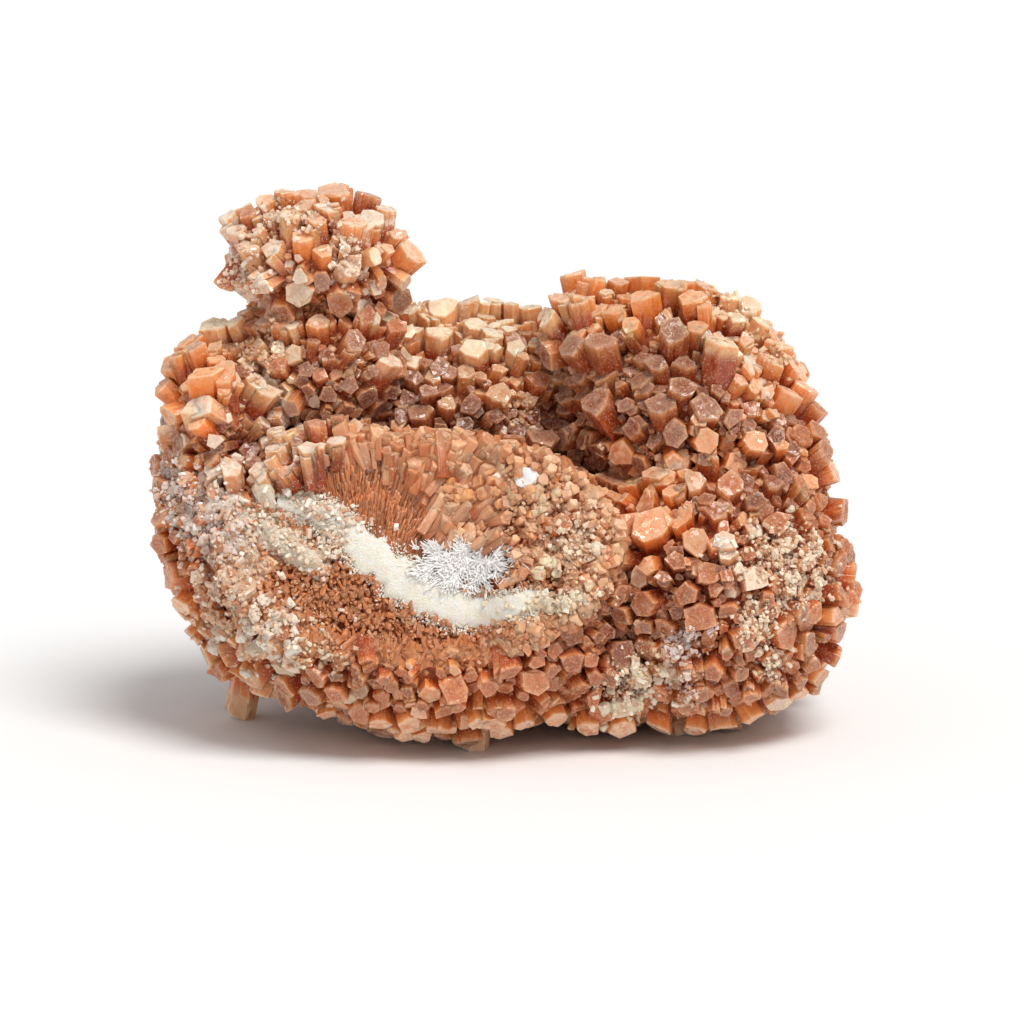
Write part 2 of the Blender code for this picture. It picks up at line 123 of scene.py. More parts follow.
FRONT_CRYSTALS = (  # across, up, width, height above the lobe
    (22.8, 70.2, 5.8, 4.6), (30.4, 69.8, 5.6, 4.6), (12.4, 70.0, 4.6, 4.2), (35.0, 62.7, 6.4, 5.4),
    (27.4, 64.2, 5.0, 4.4), (10.6, 61.9, 6.0, 4.6), (15.6, 62.7, 5.8, 4.6), (6.5, 60.3, 5.2, 4.0),
    (43.6, 60.0, 5.4, 3.0), (46.5, 54.6, 5.4, 2.8), (49.0, 47.4, 4.8, 2.6), (14.7, 52.9, 6.0, 4.4),
    (24.8, 59.0, 4.2, 2.6), (29.0, 55.0, 4.8, 2.6), (25.2, 52.1, 6.2, 3.0), (33.0, 51.8, 5.6, 3.2),
    (27.4, 47.3, 5.0, 2.6), (40.7, 46.4, 5.0, 3.6), (18.7, 44.0, 4.8, 2.8), (9.4, 40.7, 7.0, 4.6),
    (3.3, 39.4, 4.6, 3.6), (-0.8, 54.5, 5.4, 3.4), (1.1, 47.2, 4.8, 3.0), (-13.8, 51.3, 4.4, 3.0),
    (-9.6, 52.4, 3.8, 2.6), (-4.0, 46.4, 4.6, 2.8), (6.5, 47.2, 5.6, 3.2), (-6.5, 57.8, 4.4, 2.8),
    (-10.6, 64.3, 5.8, 3.4), (-4.9, 66.0, 4.4, 3.0), (-48.9, 57.4, 6.4, 3.0), (-49.7, 52.0, 6.4, 2.2),
    (-47.1, 42.0, 4.6, 3.0), (-35.0, 83.2, 5.2, 3.4), (-24.8, 82.0, 5.4, 3.4), (-33.0, 79.6, 4.4, 2.8),
    (-41.9, 78.0, 4.2, 2.8), (-24.9, 74.6, 4.4, 2.8), (-42.2, 70.2, 4.8, 3.0), (-33.4, 70.0, 4.6, 2.8),
    (-24.4, 62.7, 5.0, 3.0), (-26.9, 68.4, 5.6, 3.0), (-38.6, 54.6, 5.0, 3.0), (-18.6, 59.6, 5.2, 2.8),
    (-38.0, 12.5, 5.0, 3.0), (-8.0, 6.0, 5.4, 3.0), (5.0, 7.4, 5.2, 3.2), (19.1, 11.7, 5.8, 3.6),
    (31.3, 17.6, 5.8, 3.6), (30.9, 30.1, 5.4, 3.4), (13.0, 33.4, 6.0, 3.8), (23.6, 32.6, 7.2, 4.2),
    (18.7, 28.4, 4.8, 3.0), (36.6, 39.1, 5.8, 3.6), (30.8, 39.9, 5.2, 3.6), (46.0, 14.5, 5.6, 3.2),
    (40.5, 24.0, 5.2, 3.0), (44.0, 33.0, 5.2, 3.0), (22.0, 20.0, 5.2, 3.2), (-46.0, 26.0, 5.2, 2.8),
    (-44.3, 42.0, 4.6, 3.0), (-47.8, 43.5, 3.8, 2.6), (-55.6, 45.0, 3.6, 2.0), (-50.5, 51.6, 4.6, 2.4),
    (-41.5, 7.5, 5.0, 3.0), (-46.5, 11.5, 4.6, 2.6), (-36.0, 6.0, 5.0, 3.0), (-31.0, 8.0, 4.6, 2.8),
    (56.2, 34.6, 4.4, 3.2), (57.0, 27.4, 4.4, 3.2), (57.4, 21.6, 4.2, 3.2),
)
FEET = (  # across and back on the resting plane, width
    (-44.6, 2.0, 5.6), (-22.0, -2.0, 6.0), (-5.8, -18.5, 6.0), (29.0, -9.0, 6.0), (41.0, 9.0, 6.2),
    (20.0, 24.0, 6.2), (-2.0, 26.0, 6.2), (-26.0, 22.0, 6.2),
)
FOOT_LEAN = 0.004
FOOT_REACH = 14.0
FOOT_TIP = 0.1
FOOT_STRETCH = 1.08
FOOT_NEIGHBOURS = 9

# %% [markdown]
# ## Finishes, by where they grow
#
# Each crystal is tinted on its own: iron stains its root deep orange, which is partly painted shade, and its cap
# is paler or a greyish mauve. The mauve and umber finishes are partly painted shade: the areas put them in the
# hollows and crevices, and the mauve caps there also hold a painted dark reflection.
# Eight finishes cover the specimen. A finish holds the colour of the cap, the colour of the sides and how much
# white dusting it carries. Soft-edged areas then say where each one prevails on the front, and how coarse the
# crystals are there. The hidden sides draw from the same finishes with slow noise.

# %% Finishes and areas
FINISHES = {  # cap, sides, dusting
    "peach": ("#F3C6A8", "#E88A48", 0.1),
    "amber": ("#EAB086", "#E87E2E", 0.0),
    # greyish mauve caps, partly painted shade and a painted dark reflection where the areas put them in hollows
    "mauve": ("#A4745C", "#9C4822", 0.05),
    "russet": ("#BC744A", "#B64E1C", 0.05),
    # deep umber stain, which is painted shade where the areas put it in crevices and hollows
    "umber": ("#93583E", "#843214", 0.0),
    "beige": ("#D8AC86", "#CC7C44", 0.15),
    "cream": ("#F4DEC2", "#E8B482", 0.25),
    "sugar": ("#F4DCC8", "#E2A67C", 0.4),
}
AREAS = (  # finish, across, up, half width, half height, coarseness
    ("peach", -28.0, 86.0, 11.0, 5.0, 1.15),
    ("sugar", -41.0, 76.0, 6.0, 9.0, 1.1),
    ("cream", -34.0, 82.0, 6.0, 5.0, 1.0),
    ("sugar", -24.5, 77.0, 4.0, 7.0, 0.9),
    ("amber", -33.0, 75.5, 4.0, 3.5, 1.0),
    ("peach", -17.5, 76.5, 3.5, 7.0, 1.1),
    ("russet", -32.0, 66.0, 10.0, 5.0, 1.0),
    ("mauve", -24.0, 60.0, 8.0, 5.0, 0.9),
    ("cream", -40.5, 59.0, 4.5, 7.0, 1.0),
    ("amber", -50.5, 56.5, 6.0, 9.0, 1.35),
    ("sugar", -46.7, 66.0, 3.5, 2.5, 1.1),
    # painted shade: umber down the crevice between the shoulder and the neck, and beside it
    ("umber", -43.7, 50.0, 3.0, 9.0, 0.8),
    ("umber", -48.0, 47.5, 7.0, 3.0, 1.1),
    ("cream", -10.0, 67.5, 7.5, 6.0, 1.25),
    ("cream", 0.0, 68.0, 8.5, 5.0, 1.3),
    ("beige", -2.0, 60.0, 7.0, 4.0, 1.0),
    # painted shade and a painted dark reflection: mauve and umber in the hollow of the saddle
    ("mauve", -8.0, 52.5, 17.0, 6.5, 0.95),
    ("umber", -8.0, 50.5, 18.0, 7.0, 0.85),
    # painted shade: umber in the hollow of the right lobe
    ("umber", 22.0, 50.0, 14.0, 5.0, 0.9),
    ("beige", 3.0, 55.5, 3.6, 3.6, 1.1),
    ("peach", 12.5, 71.5, 6.0, 4.0, 1.0),
    ("amber", 24.0, 68.5, 9.0, 4.0, 1.2),
    ("peach", 24.0, 73.5, 14.0, 2.5, 1.1),
    ("cream", 37.0, 67.5, 4.5, 7.0, 0.9),
    ("peach", 43.0, 61.0, 7.0, 8.0, 1.1),
    # painted shade and a painted dark reflection: mauve in the right lobe's bowl
    ("mauve", 22.0, 57.0, 12.0, 6.0, 1.05),
    ("mauve", 27.5, 48.0, 14.0, 5.0, 1.0),
    ("amber", 36.0, 43.5, 10.0, 5.0, 1.1),
    ("russet", 52.0, 45.0, 5.0, 14.0, 0.9),
    ("amber", 26.0, 33.5, 10.0, 6.0, 1.25),
    ("russet", 32.0, 20.0, 16.0, 12.0, 0.9),
    ("russet", 40.0, 34.0, 10.0, 8.0, 0.9),
    ("russet", 14.0, 12.0, 26.0, 5.0, 0.9),
    ("umber", 24.0, 19.5, 18.0, 8.5, 0.9),
    ("umber", 41.0, 36.0, 10.0, 8.0, 0.9),
    ("sugar", 42.0, 26.5, 8.0, 5.0, 0.6),
    ("peach", 18.0, 28.0, 5.0, 8.0, 1.0),
    ("russet", 2.0, 6.0, 24.0, 7.0, 0.9),
    ("peach", 0.0, -1.5, 50.0, 3.0, 1.0),
    ("russet", -53.0, 28.0, 6.0, 14.0, 0.65),
    ("sugar", -47.5, 32.0, 4.5, 9.0, 0.6),
    ("sugar", -39.0, 15.0, 7.0, 6.0, 0.75),
    ("beige", -43.0, 18.0, 7.0, 8.0, 0.8),
    ("peach", -48.0, 20.0, 6.0, 8.0, 0.75),
    ("sugar", -37.0, 47.0, 8.0, 5.0, 1.0),
    ("russet", -17.0, 12.0, 13.0, 4.5, 0.4),
)
HIDDEN_MIX = {
    "russet": 0.26, "amber": 0.2, "peach": 0.16, "mauve": 0.16, "beige": 0.1, "cream": 0.06, "sugar": 0.06,
}

# %% [markdown]
# ## Small helpers
#
# A colour is picked as the eye sees it, in sRGB, and Blender mixes light in linear values, so one function
# turns one into the other. Another adds a node with its settings and links. The others make a mesh from
# arrays, make a plain mesh of whatever modifiers have made, and read or move a mesh's points.

# %% Helpers
def linear(code):
    """A hex colour as the three linear values that Blender's sockets hold."""
    shares = np.array([int(code[i : i + 2], 16) / 255 for i in (1, 3, 5)])
    return np.where(shares <= 0.04045, shares / 12.92, ((shares + 0.055) / 1.055) ** 2.4)


def add_node(tree, kind, inputs=None, take=None, **settings):
    """A node with its settings, and each input linked, if it is a socket, or set; take picks an output."""
    node = tree.nodes.new(kind)
    for name, value in settings.items():
        setattr(node, name, value)
    for key, value in (inputs or {}).items():
        socket = node.inputs[key]
        if isinstance(value, bpy.types.NodeSocket):
            tree.links.new(value, socket)
        elif socket.type == "RGBA" and len(value) == 3:
            socket.default_value = (*value, 1.0)
        else:
            socket.default_value = value
    return node if take is None else node.outputs[take]


def mesh_from(name, points, faces, values=None):
    """A mesh from points in millimetres; values are (kind, one entry a point) by attribute name."""
    mesh = bpy.data.meshes.new(name)
    mesh.from_pydata([tuple(p) for p in np.asarray(points) * MM], [], faces)
    fields = {"FLOAT": "value", "INT": "value", "FLOAT_VECTOR": "vector", "FLOAT_COLOR": "color"}
    for key, (kind, entries) in (values or {}).items():
        entries = np.asarray(entries)
        if kind == "FLOAT_COLOR":
            entries = np.column_stack([entries, np.ones(len(entries))])
        layer = mesh.attributes.new(key, kind, "POINT")
        layer.data.foreach_set(fields[kind], entries.ravel().astype(np.int32 if kind == "INT" else np.float32))
    mesh.update()
    return mesh


def placed(name, mesh):
    obj = bpy.data.objects.new(name, mesh)
    bpy.context.scene.collection.objects.link(obj)
    return obj


def plain_piece(name, source):
    """What the source's modifiers make, as a mesh of its own; the source goes."""
    graph = bpy.context.evaluated_depsgraph_get()
    mesh = bpy.data.meshes.new_from_object(source.evaluated_get(graph), depsgraph=graph)
    mesh.name = name
    bpy.data.objects.remove(source, do_unlink=True)
    return placed(name, mesh)


def mesh_points(mesh):
    """The mesh's points in millimetres."""
    flat = np.empty(len(mesh.vertices) * 3, np.float32)
    mesh.vertices.foreach_get("co", flat)
    return flat.reshape(-1, 3).astype(float) / MM


def move_points(mesh, points):
    mesh.vertices.foreach_set("co", (points * MM).astype(np.float32).ravel())
    mesh.update()


def triangles(mesh):
    mesh.calc_loop_triangles()
    flat = np.empty(len(mesh.loop_triangles) * 3, np.int32)
    mesh.loop_triangles.foreach_get("vertices", flat)
    return flat.reshape(-1, 3)


def unit(vectors):
    return vectors / np.maximum(np.linalg.norm(vectors, axis=1, keepdims=True), 1e-6)


# %% [markdown]
# ## The shape that the crystals grow from
#
# A point's distance to every lobe is worked out at once, and blended so that the valleys between lobes are
# soft. The blended direction is the way a crystal grows there. All the sites below come from these two.

# %% Growth field
LOBE_CENTRES = np.array([centre for centre, _ in LOBES]) + CENTRE_SHIFT
LOBE_HALVES = np.array([half for _, half in LOBES])
VALLEY_SOFTNESS = 1.2
LEAN_UP = np.array([0.0, math.sin(FRONT_LEAN), math.cos(FRONT_LEAN)])
LEAN_IN = np.array([0.0, math.cos(FRONT_LEAN), -math.sin(FRONT_LEAN)])


def growth_field(points):
    """(distance outside the lobes, growth direction) at each point."""
    offset = points[:, None, :] - LOBE_CENTRES
    level = np.linalg.norm(offset / LOBE_HALVES, axis=2)
    slope = offset / LOBE_HALVES**2
    steep = np.maximum(np.linalg.norm(slope, axis=2), 1e-6)
    distance = level * (level - 1.0) / steep
    nearest = distance.min(1, keepdims=True)
    share = np.exp(-(distance - nearest) / VALLEY_SOFTNESS)
    blended = nearest[:, 0] - VALLEY_SOFTNESS * np.log(share.sum(1))
    return blended, unit((share[:, :, None] * slope / steep[:, :, None]).sum(1))


def front_view(points):
    """(across, up) of points as seen on the leaning front plane."""
    seen = points - CENTRE_SHIFT
    return np.column_stack([seen[:, 0], seen @ LEAN_UP])


def sight_start(across, up, back):
    """The point that is so far across, up and back on the leaning front plane."""
    return CENTRE_SHIFT + across * ACROSS + up * LEAN_UP - back * LEAN_IN


def swell(seen, across, up, half_width, half_height):
    """1 in the middle of an oval area of the front view, and softly less away from it."""
    return np.exp(-(((seen[:, 0] - across) / half_width) ** 2 + ((seen[:, 1] - up) / half_height) ** 2))


SCAR_OUT = np.array([0.0, -math.cos(SCAR_TILT), math.sin(SCAR_TILT)])
SCAR_UP = np.array([0.0, math.sin(SCAR_TILT), math.cos(SCAR_TILT)])


def rim_reach(flat):
    """How far out in the scar's oval each flat place is, with 1 at the rim."""
    return np.linalg.norm(flat / SCAR_HALF, axis=-1)


def scar_place(points):
    """(flat place in the scar's plane, height over it, how far out in its oval)."""
    offset = points - SCAR_CENTRE - CENTRE_SHIFT
    flat = np.column_stack([offset @ ACROSS, offset @ SCAR_UP])
    return flat, offset @ SCAR_OUT, rim_reach(flat)


def ramp_of(values, low, high):
    """0 below low, 1 above high, and a soft rise between."""
    share = np.clip((values - low) / (high - low), 0.0, 1.0)
    return share * share * (3.0 - 2.0 * share)


RIGHT_RISE, RIGHT_RAMP = 5.5, (8.5, 16.5)
LOW_RISE, LOW_RAMP, LOW_RIM = 2.4, (2.0, 7.0), (0.7, 1.0)


def scar_floor(flat):
    """How far the break rises over its plane: up into the crystals on the right, and a little along below."""
    right = RIGHT_RISE * ramp_of(flat[..., 0], *RIGHT_RAMP)
    below = LOW_RISE * ramp_of(rim_reach(flat), *LOW_RIM) * ramp_of(-flat[..., 1], *LOW_RAMP)
    return np.maximum(right, below)


def on_scar(flat, height):
    """The point at a flat place of the break, and at a height over its floor."""
    flat = np.asarray(flat, float)
    height = height + scar_floor(flat)
    base = SCAR_CENTRE + CENTRE_SHIFT + flat[..., :1] * ACROSS + flat[..., 1:] * SCAR_UP
    return base + np.asarray(height, float)[..., None] * SCAR_OUT


# %% Hollows
HOLLOWS = (  # across, up, half width, half height, depth: crevices and dimples that the front shows
    (-43.4, 50.0, 1.9, 9.0, 4.5),
    (-40.6, 40.2, 2.0, 2.0, 3.5),
    (-38.5, 46.0, 5.0, 1.6, 2.0),
    (8.0, 49.5, 3.5, 4.5, 2.2),
    (-14.5, 47.5, 6.0, 1.6, 1.6),
    (1.0, 43.4, 9.0, 1.5, 2.4),
    (19.0, 42.0, 5.0, 1.6, 1.8),
    (33.0, 45.0, 4.0, 1.4, 1.6),
    (27.0, 60.5, 6.0, 1.4, 1.4),
    (-20.0, 69.0, 1.6, 3.0, 1.8),
)


def sunk(points, axes):
    """How far in the front's hollows take each point."""
    seen = front_view(points)
    facing = np.clip(-(axes @ LEAN_IN) * 3.0, 0.0, 1.0)
    depth = np.zeros(len(points))
    for *oval, deep in HOLLOWS:
        depth += deep * swell(seen, *oval)
    return depth * facing


# %% [markdown]
# ## Root mass
#
# Between the crystals a little of the mass that they root in shows: dark, rough and stained. A voxel remesh
# joins the lobes' spheres into one skin of even faces, and each point is then moved onto the field with some
# noise. Over the scar the skin is pressed back to the plane of the break.

# %% Root mass skin
SKIN_VOXEL = 1.15
SKIN_LUMP = 4.0
SKIN_RELIEF = 0.9
SKIN_SINK = 0.3
SKIN_LOWEST = 1.0
BREAK_MARGIN = 0.6
BREAK_SINK = 0.7
BREAK_GRIT = 0.8
BREAK_RELIEF = 0.35


def lobe_spheres():
    ball = bpy.data.meshes.new("ball")
    shape = bmesh.new()
    for centre, half in zip(LOBE_CENTRES, LOBE_HALVES):
        place = Matrix.Translation(Vector(centre) * MM) @ Matrix.Diagonal((*(half * MM), 1.0))
        bmesh.ops.create_icosphere(shape, subdivisions=4, radius=1.0, matrix=place)
    shape.to_mesh(ball)
    shape.free()
    return ball


skin_source = placed("root_skin", lobe_spheres())
remesh = skin_source.modifiers.new("one skin", "REMESH")
remesh.mode = "VOXEL"
remesh.voxel_size = SKIN_VOXEL * MM
root_mass = plain_piece("root_mass", skin_source)
skin_points = mesh_points(root_mass.data)
for _ in range(3):
    gap, way = growth_field(skin_points)
    skin_points -= way * gap[:, None]
whole_skin = skin_points.copy()
whole_faces = triangles(root_mass.data)
lumps = np.array([noise.fractal(Vector(p / SKIN_LUMP), 0.8, 2.1, 4) for p in skin_points])
skin_points += way * (lumps * SKIN_RELIEF - SKIN_SINK - sunk(skin_points, way))[:, None]
flat, height, reach = scar_place(skin_points)
over = (height > scar_floor(flat) - BREAK_MARGIN) & (reach < 1.0)
grit = np.array([noise.noise(Vector((*(p / BREAK_GRIT), 3.0))) for p in flat[over]])
skin_points[over] = on_scar(flat[over], grit * BREAK_RELIEF - BREAK_SINK)
skin_points[:, 2] = np.maximum(skin_points[:, 2], SKIN_LOWEST)
move_points(root_mass.data, skin_points)
print("root mass", len(root_mass.data.polygons), "faces")

# %% [markdown]
# ## Crystal forms
#
# A twinned prism looks like an uneven hexagon with a few notches, which are the seams between its twins. Its
# edges are worn, so the cap has a narrow chamfer. A form is one unit wide and one unit long, and each
# crystal stretches it to its own width and length. Small crystals get fewer corners than the large ones, because
# there are thousands of them. Every point carries how far along it is, whether it is on the cap, and its own
# place, so that grooves can follow the crystal and not the scene.

# %% Forms
LARGE_RINGS = ((0.0, 0.86), (0.6, 0.96), (0.965, 1.0), (1.0, 0.94))
MEDIUM_RINGS = ((0.0, 0.88), (0.96, 1.0), (1.0, 0.93))
SMALL_RINGS = ((0.0, 0.9), (0.93, 1.0), (1.0, 0.88))
SPLINTER_RINGS = ((0.0, 0.7), (0.8, 1.0), (1.0, 0.75))
GRAIN_RINGS = ((0.0, 0.8), (1.0, 0.85))
NOTCH_HALF = 0.07
NOTCH_DEPTH = 0.07
CORNER_SWING = 17.0
CORNER_REACH = (0.78, 1.16)
RING_SWING = (0.97, 1.03)
UNEVEN_CAP = 0.02
STEEP_CAP, FLAT_CAP = 2.2, 0.7


def twin_outline(draw, corner_count, notches):
    corners = []
    for i in range(corner_count):
        turn = math.radians(360 * i / corner_count + draw.uniform(-CORNER_SWING, CORNER_SWING))
        corners.append(np.array([math.cos(turn), math.sin(turn)]) * 0.5 * draw.uniform(*CORNER_REACH))
    seams = draw.sample(range(corner_count), notches)
    outline = []
    for i, corner in enumerate(corners):
        outline.append(corner)
        if i in seams:
            side = corners[(i + 1) % corner_count] - corner
            at = draw.uniform(0.35, 0.65)
            outline.append(corner + side * (at - NOTCH_HALF))
            outline.append((corner + side * at) * (1.0 - NOTCH_DEPTH))
            outline.append(corner + side * (at + NOTCH_HALF))
    return np.array(outline)


def form_mesh(name, draw, outline, rings, slant):
    lean = np.array([draw.uniform(-slant, slant), draw.uniform(-slant, slant)])
    points, along, cap = [], [], []
    for height, girth in rings:
        ring = outline * girth * draw.uniform(*RING_SWING)
        lift = height * (1.0 + ring @ lean + np.array([draw.uniform(-UNEVEN_CAP, UNEVEN_CAP) for _ in ring]))
        points.append(np.column_stack([ring, lift]))
        along += [height] * len(ring)
        cap += [1.0 if height == 1.0 else 0.0] * len(ring)
    count = len(outline)
    faces = [tuple(reversed(range(count)))]
    for low in range(0, count * (len(rings) - 1), count):
        for i in range(count):
            j = (i + 1) % count
            faces.append((low + i, low + j, low + count + j, low + count + i))
    faces.append(tuple(range(count * (len(rings) - 1), count * len(rings))))
    points = np.vstack(points)
    values = {"along": ("FLOAT", along), "cap": ("FLOAT", cap), "own": ("FLOAT_VECTOR", points)}
    return mesh_from(name, points, faces, values)


def form_set(name, seed, count, corners, notches, rings, slant):
    draw = random.Random(seed)
    group = bpy.data.collections.new(name)
    bpy.context.scene.collection.children.link(group)
    for i in range(count):
        outline = twin_outline(draw, draw.randint(*corners), draw.randint(*notches))
        tilt = slant * (STEEP_CAP if i % 3 == 0 else FLAT_CAP)
        mesh = form_mesh(f"{name}_{i}", draw, outline, rings, tilt)
        group.objects.link(bpy.data.objects.new(mesh.name, mesh))
    faces = sum(len(obj.data.polygons) for obj in group.objects)
    print(name, count, "forms", faces // count, "faces each")
    return group


large_forms = form_set("large_form", 1, 12, (6, 7), (1, 3), LARGE_RINGS, 0.08)
medium_forms = form_set("medium_form", 2, 10, (5, 7), (0, 1), MEDIUM_RINGS, 0.12)
small_forms = form_set("small_form", 3, 8, (5, 6), (0, 0), SMALL_RINGS, 0.15)
splinter_forms = form_set("splinter_form", 4, 8, (4, 6), (0, 0), SPLINTER_RINGS, 0.22)
grain_forms = form_set("grain_form", 5, 8, (4, 5), (0, 0), GRAIN_RINGS, 0.3)

# %% [markdown]
# ## Growing crystals on points
#
# One Geometry Nodes tree sets a form on every root point. The point says which way the crystal grows, how far
# it is turned, how wide and how long it is. The tree picks one of the forms, squashes the section a little, and
# leaves each crystal's size and a random key on the mesh for the material. Instances are made real at the end,
# because an export drops them.

# %% The growing tree
SITE_VALUES = {
    "axis": "FLOAT_VECTOR",
    "roll": "FLOAT",
    "width": "FLOAT",
    "length": "FLOAT",
    "cap_tint": "FLOAT_COLOR",
    "side_tint": "FLOAT_COLOR",
    "dust": "FLOAT",
}


def growing_tree():
    tree = bpy.data.node_groups.new("grow crystals", "GeometryNodeTree")
    sockets = (
        ("Roots", "INPUT", "NodeSocketGeometry", None),
        ("Forms", "INPUT", "NodeSocketCollection", None),
        ("Finish", "INPUT", "NodeSocketMaterial", None),
        ("Kinds", "INPUT", "NodeSocketInt", 6),
        ("Thickness", "INPUT", "NodeSocketFloat", 1.0),
        ("Flattest", "INPUT", "NodeSocketFloat", 0.72),
        ("Seed", "INPUT", "NodeSocketInt", 0),
        ("Crystals", "OUTPUT", "NodeSocketGeometry", None),
    )
    for name, way, kind, value in sockets:
        socket = tree.interface.new_socket(name, in_out=way, socket_type=kind)
        if value is not None:
            socket.default_value = value
    given = add_node(tree, "NodeGroupInput").outputs
    site = {}
    for name in ("axis", "roll", "width", "length"):
        kind = SITE_VALUES[name]
        node = add_node(tree, "GeometryNodeInputNamedAttribute", {"Name": name}, data_type=kind)
        site[name] = next(out for out in node.outputs if out.enabled and out.name == "Attribute")
    aim = add_node(tree, "FunctionNodeAlignRotationToVector", {"Vector": site["axis"]}, 0, axis="Z")
    spin = add_node(tree, "FunctionNodeAxisAngleToRotation", {"Axis": (0, 0, 1), "Angle": site["roll"]}, 0)
    both = {"Rotation": aim, "Rotate By": spin}
    turn = add_node(tree, "FunctionNodeRotateRotation", both, 0, rotation_space="LOCAL")
    squash = add_node(tree, "FunctionNodeRandomValue", {2: given["Flattest"], 3: 1.0, "Seed": given["Seed"]}, 1)
    key = add_node(tree, "FunctionNodeRandomValue", {2: 0.0, 3: 1.0, "Seed": given["Seed"]}, 1)
    last_kind = add_node(tree, "ShaderNodeMath", {0: given["Kinds"], 1: 1.0}, 0, operation="SUBTRACT")
    choice = {4: 0, 5: last_kind, "Seed": given["Seed"]}
    pick = add_node(tree, "FunctionNodeRandomValue", choice, 2, data_type="INT")
    wide = add_node(tree, "ShaderNodeMath", {0: site["width"], 1: given["Thickness"]}, 0, operation="MULTIPLY")
    deep = add_node(tree, "ShaderNodeMath", {0: wide, 1: squash}, 0, operation="MULTIPLY")
    size = add_node(tree, "ShaderNodeCombineXYZ", {0: wide, 1: deep, 2: site["length"]}, 0)
    taken = {"Collection": given["Forms"], "Separate Children": True, "Reset Children": True}
    forms = add_node(tree, "GeometryNodeCollectionInfo", taken, 0)
    stand = {"Points": given["Roots"], "Instance": forms, "Pick Instance": True, "Instance Index": pick}
    stand |= {"Rotation": turn, "Scale": size}
    grown = add_node(tree, "GeometryNodeInstanceOnPoints", stand, 0)
    for name, value, kind in (("key", key, "FLOAT"), ("girth", size, "FLOAT_VECTOR")):
        kept = {"Geometry": grown, "Name": name, "Value": value}
        grown = add_node(tree, "GeometryNodeStoreNamedAttribute", kept, 0, data_type=kind, domain="INSTANCE")
    real = add_node(tree, "GeometryNodeRealizeInstances", {"Geometry": grown}, 0)
    finished = add_node(tree, "GeometryNodeSetMaterial", {"Geometry": real, "Material": given["Finish"]}, 0)
    add_node(tree, "NodeGroupOutput", {"Crystals": finished})
    return tree


grow = growing_tree()


def grown_piece(name, table, forms, finish, seed, thickness=1.0):
    """A piece with one crystal for each row of the table, which has a root and the site's values."""
    values = {key: (kind, table[key]) for key, kind in SITE_VALUES.items()}
    roots = placed(f"{name}_roots", mesh_from(f"{name}_roots", table["root"], [], values))
    modifier = roots.modifiers.new("grow", "NODES")
    modifier.node_group = grow
    chosen = {"Forms": forms, "Finish": finish, "Kinds": len(forms.objects), "Thickness": thickness, "Seed": seed}
    for item in grow.interface.items_tree:
        if item.name in chosen:
            modifier[item.identifier] = chosen[item.name]
    piece = plain_piece(name, roots)
    faces = sum(len(polygon.vertices) - 2 for polygon in piece.data.polygons)
    print(name, len(table["root"]), "crystals", faces, "triangles")
    return piece


# %% [markdown]
# ## Where each crystal stands
#
# The crystals that the specimen shows one by one come first, at their measured places. The rest are thrown at
# the lobes like darts, from coarse to fine, and a dart counts only where the ones before leave it room. So the
# small crystals fill the gaps between large ones, as in a real druse. A site also gets its finish here: each
# area pulls the choice towards its own, and a few others always slip in.

# %% Finish of a site
FINISH_NAMES = list(FINISHES)
CAP_TINTS = np.array([linear(FINISHES[name][0]) for name in FINISH_NAMES])
SIDE_TINTS = np.array([linear(FINISHES[name][1]) for name in FINISH_NAMES])
DUSTINESS = np.array([FINISHES[name][2] for name in FINISH_NAMES])
STRAY = 0.12
TONE_SPREAD = 0.1
SLOW_NOISE = 17.0
FRONT_HALF = 14.0


def finish_weights(points, axes):
    """(weight of each finish, coarseness) at each point; areas count on the front only."""
    seen = front_view(points)
    facing = np.clip((-(axes @ LEAN_IN) + 0.5) / 0.5, 0.0, 1.0) * (points[:, 1] < FRONT_HALF)
    weights = np.zeros((len(points), len(FINISH_NAMES)))
    coarse, total = np.full(len(points), 0.25), np.full(len(points), 0.25)
    for name, *oval, size in AREAS:
        pull = facing * swell(seen, *oval)
        weights[:, FINISH_NAMES.index(name)] += pull
        coarse += pull * size
        total += pull
    for place, (name, share) in enumerate(HIDDEN_MIX.items()):
        drift = np.array([noise.noise(Vector(p / SLOW_NOISE) + Vector((0, 0, 9.0 * place))) for p in points])
        weights[:, FINISH_NAMES.index(name)] += share * np.exp(3.0 * drift) * (STRAY + 1.2 * (1.0 - facing))
    return weights / weights.sum(1, keepdims=True), coarse / total


def painted(table, rng):
    """Adds each crystal's cap and side tints and its dust to the table."""
    weights, _ = finish_weights(table["root"] + table["axis"] * table["length"][:, None], table["axis"])
    pick = (weights.cumsum(1) > rng.random(len(weights))[:, None]).argmax(1)
    blend = 0.7 + 0.3 * rng.random((len(weights), 1))
    tone = 1.0 + rng.normal(0.0, TONE_SPREAD, (len(weights), 1)).clip(-0.3, 0.3)
    for key, tints in (("cap_tint", CAP_TINTS), ("side_tint", SIDE_TINTS)):
        table[key] = (tints[pick] * blend + (weights @ tints) * (1.0 - blend)) * tone
    table["dust"] = DUSTINESS[pick] * rng.uniform(0.4, 1.3, len(weights))
    return table


# %% Measured crystals
ROOT_DEPTH = 4.0
LEAN_JITTER = 0.19
TWIN_SHARE = 0.7
MEASURED_TWINS = 0.16
SIGHT_STEP = 0.25
SIGHT_STEPS = 480
SIGHT_BACK = 60.0
RISE = 0.75
RISE_HEIGHTS = (34.0, 62.0)


def jittered(axes, rng, amount):
    return unit(axes + rng.normal(0.0, amount, axes.shape))


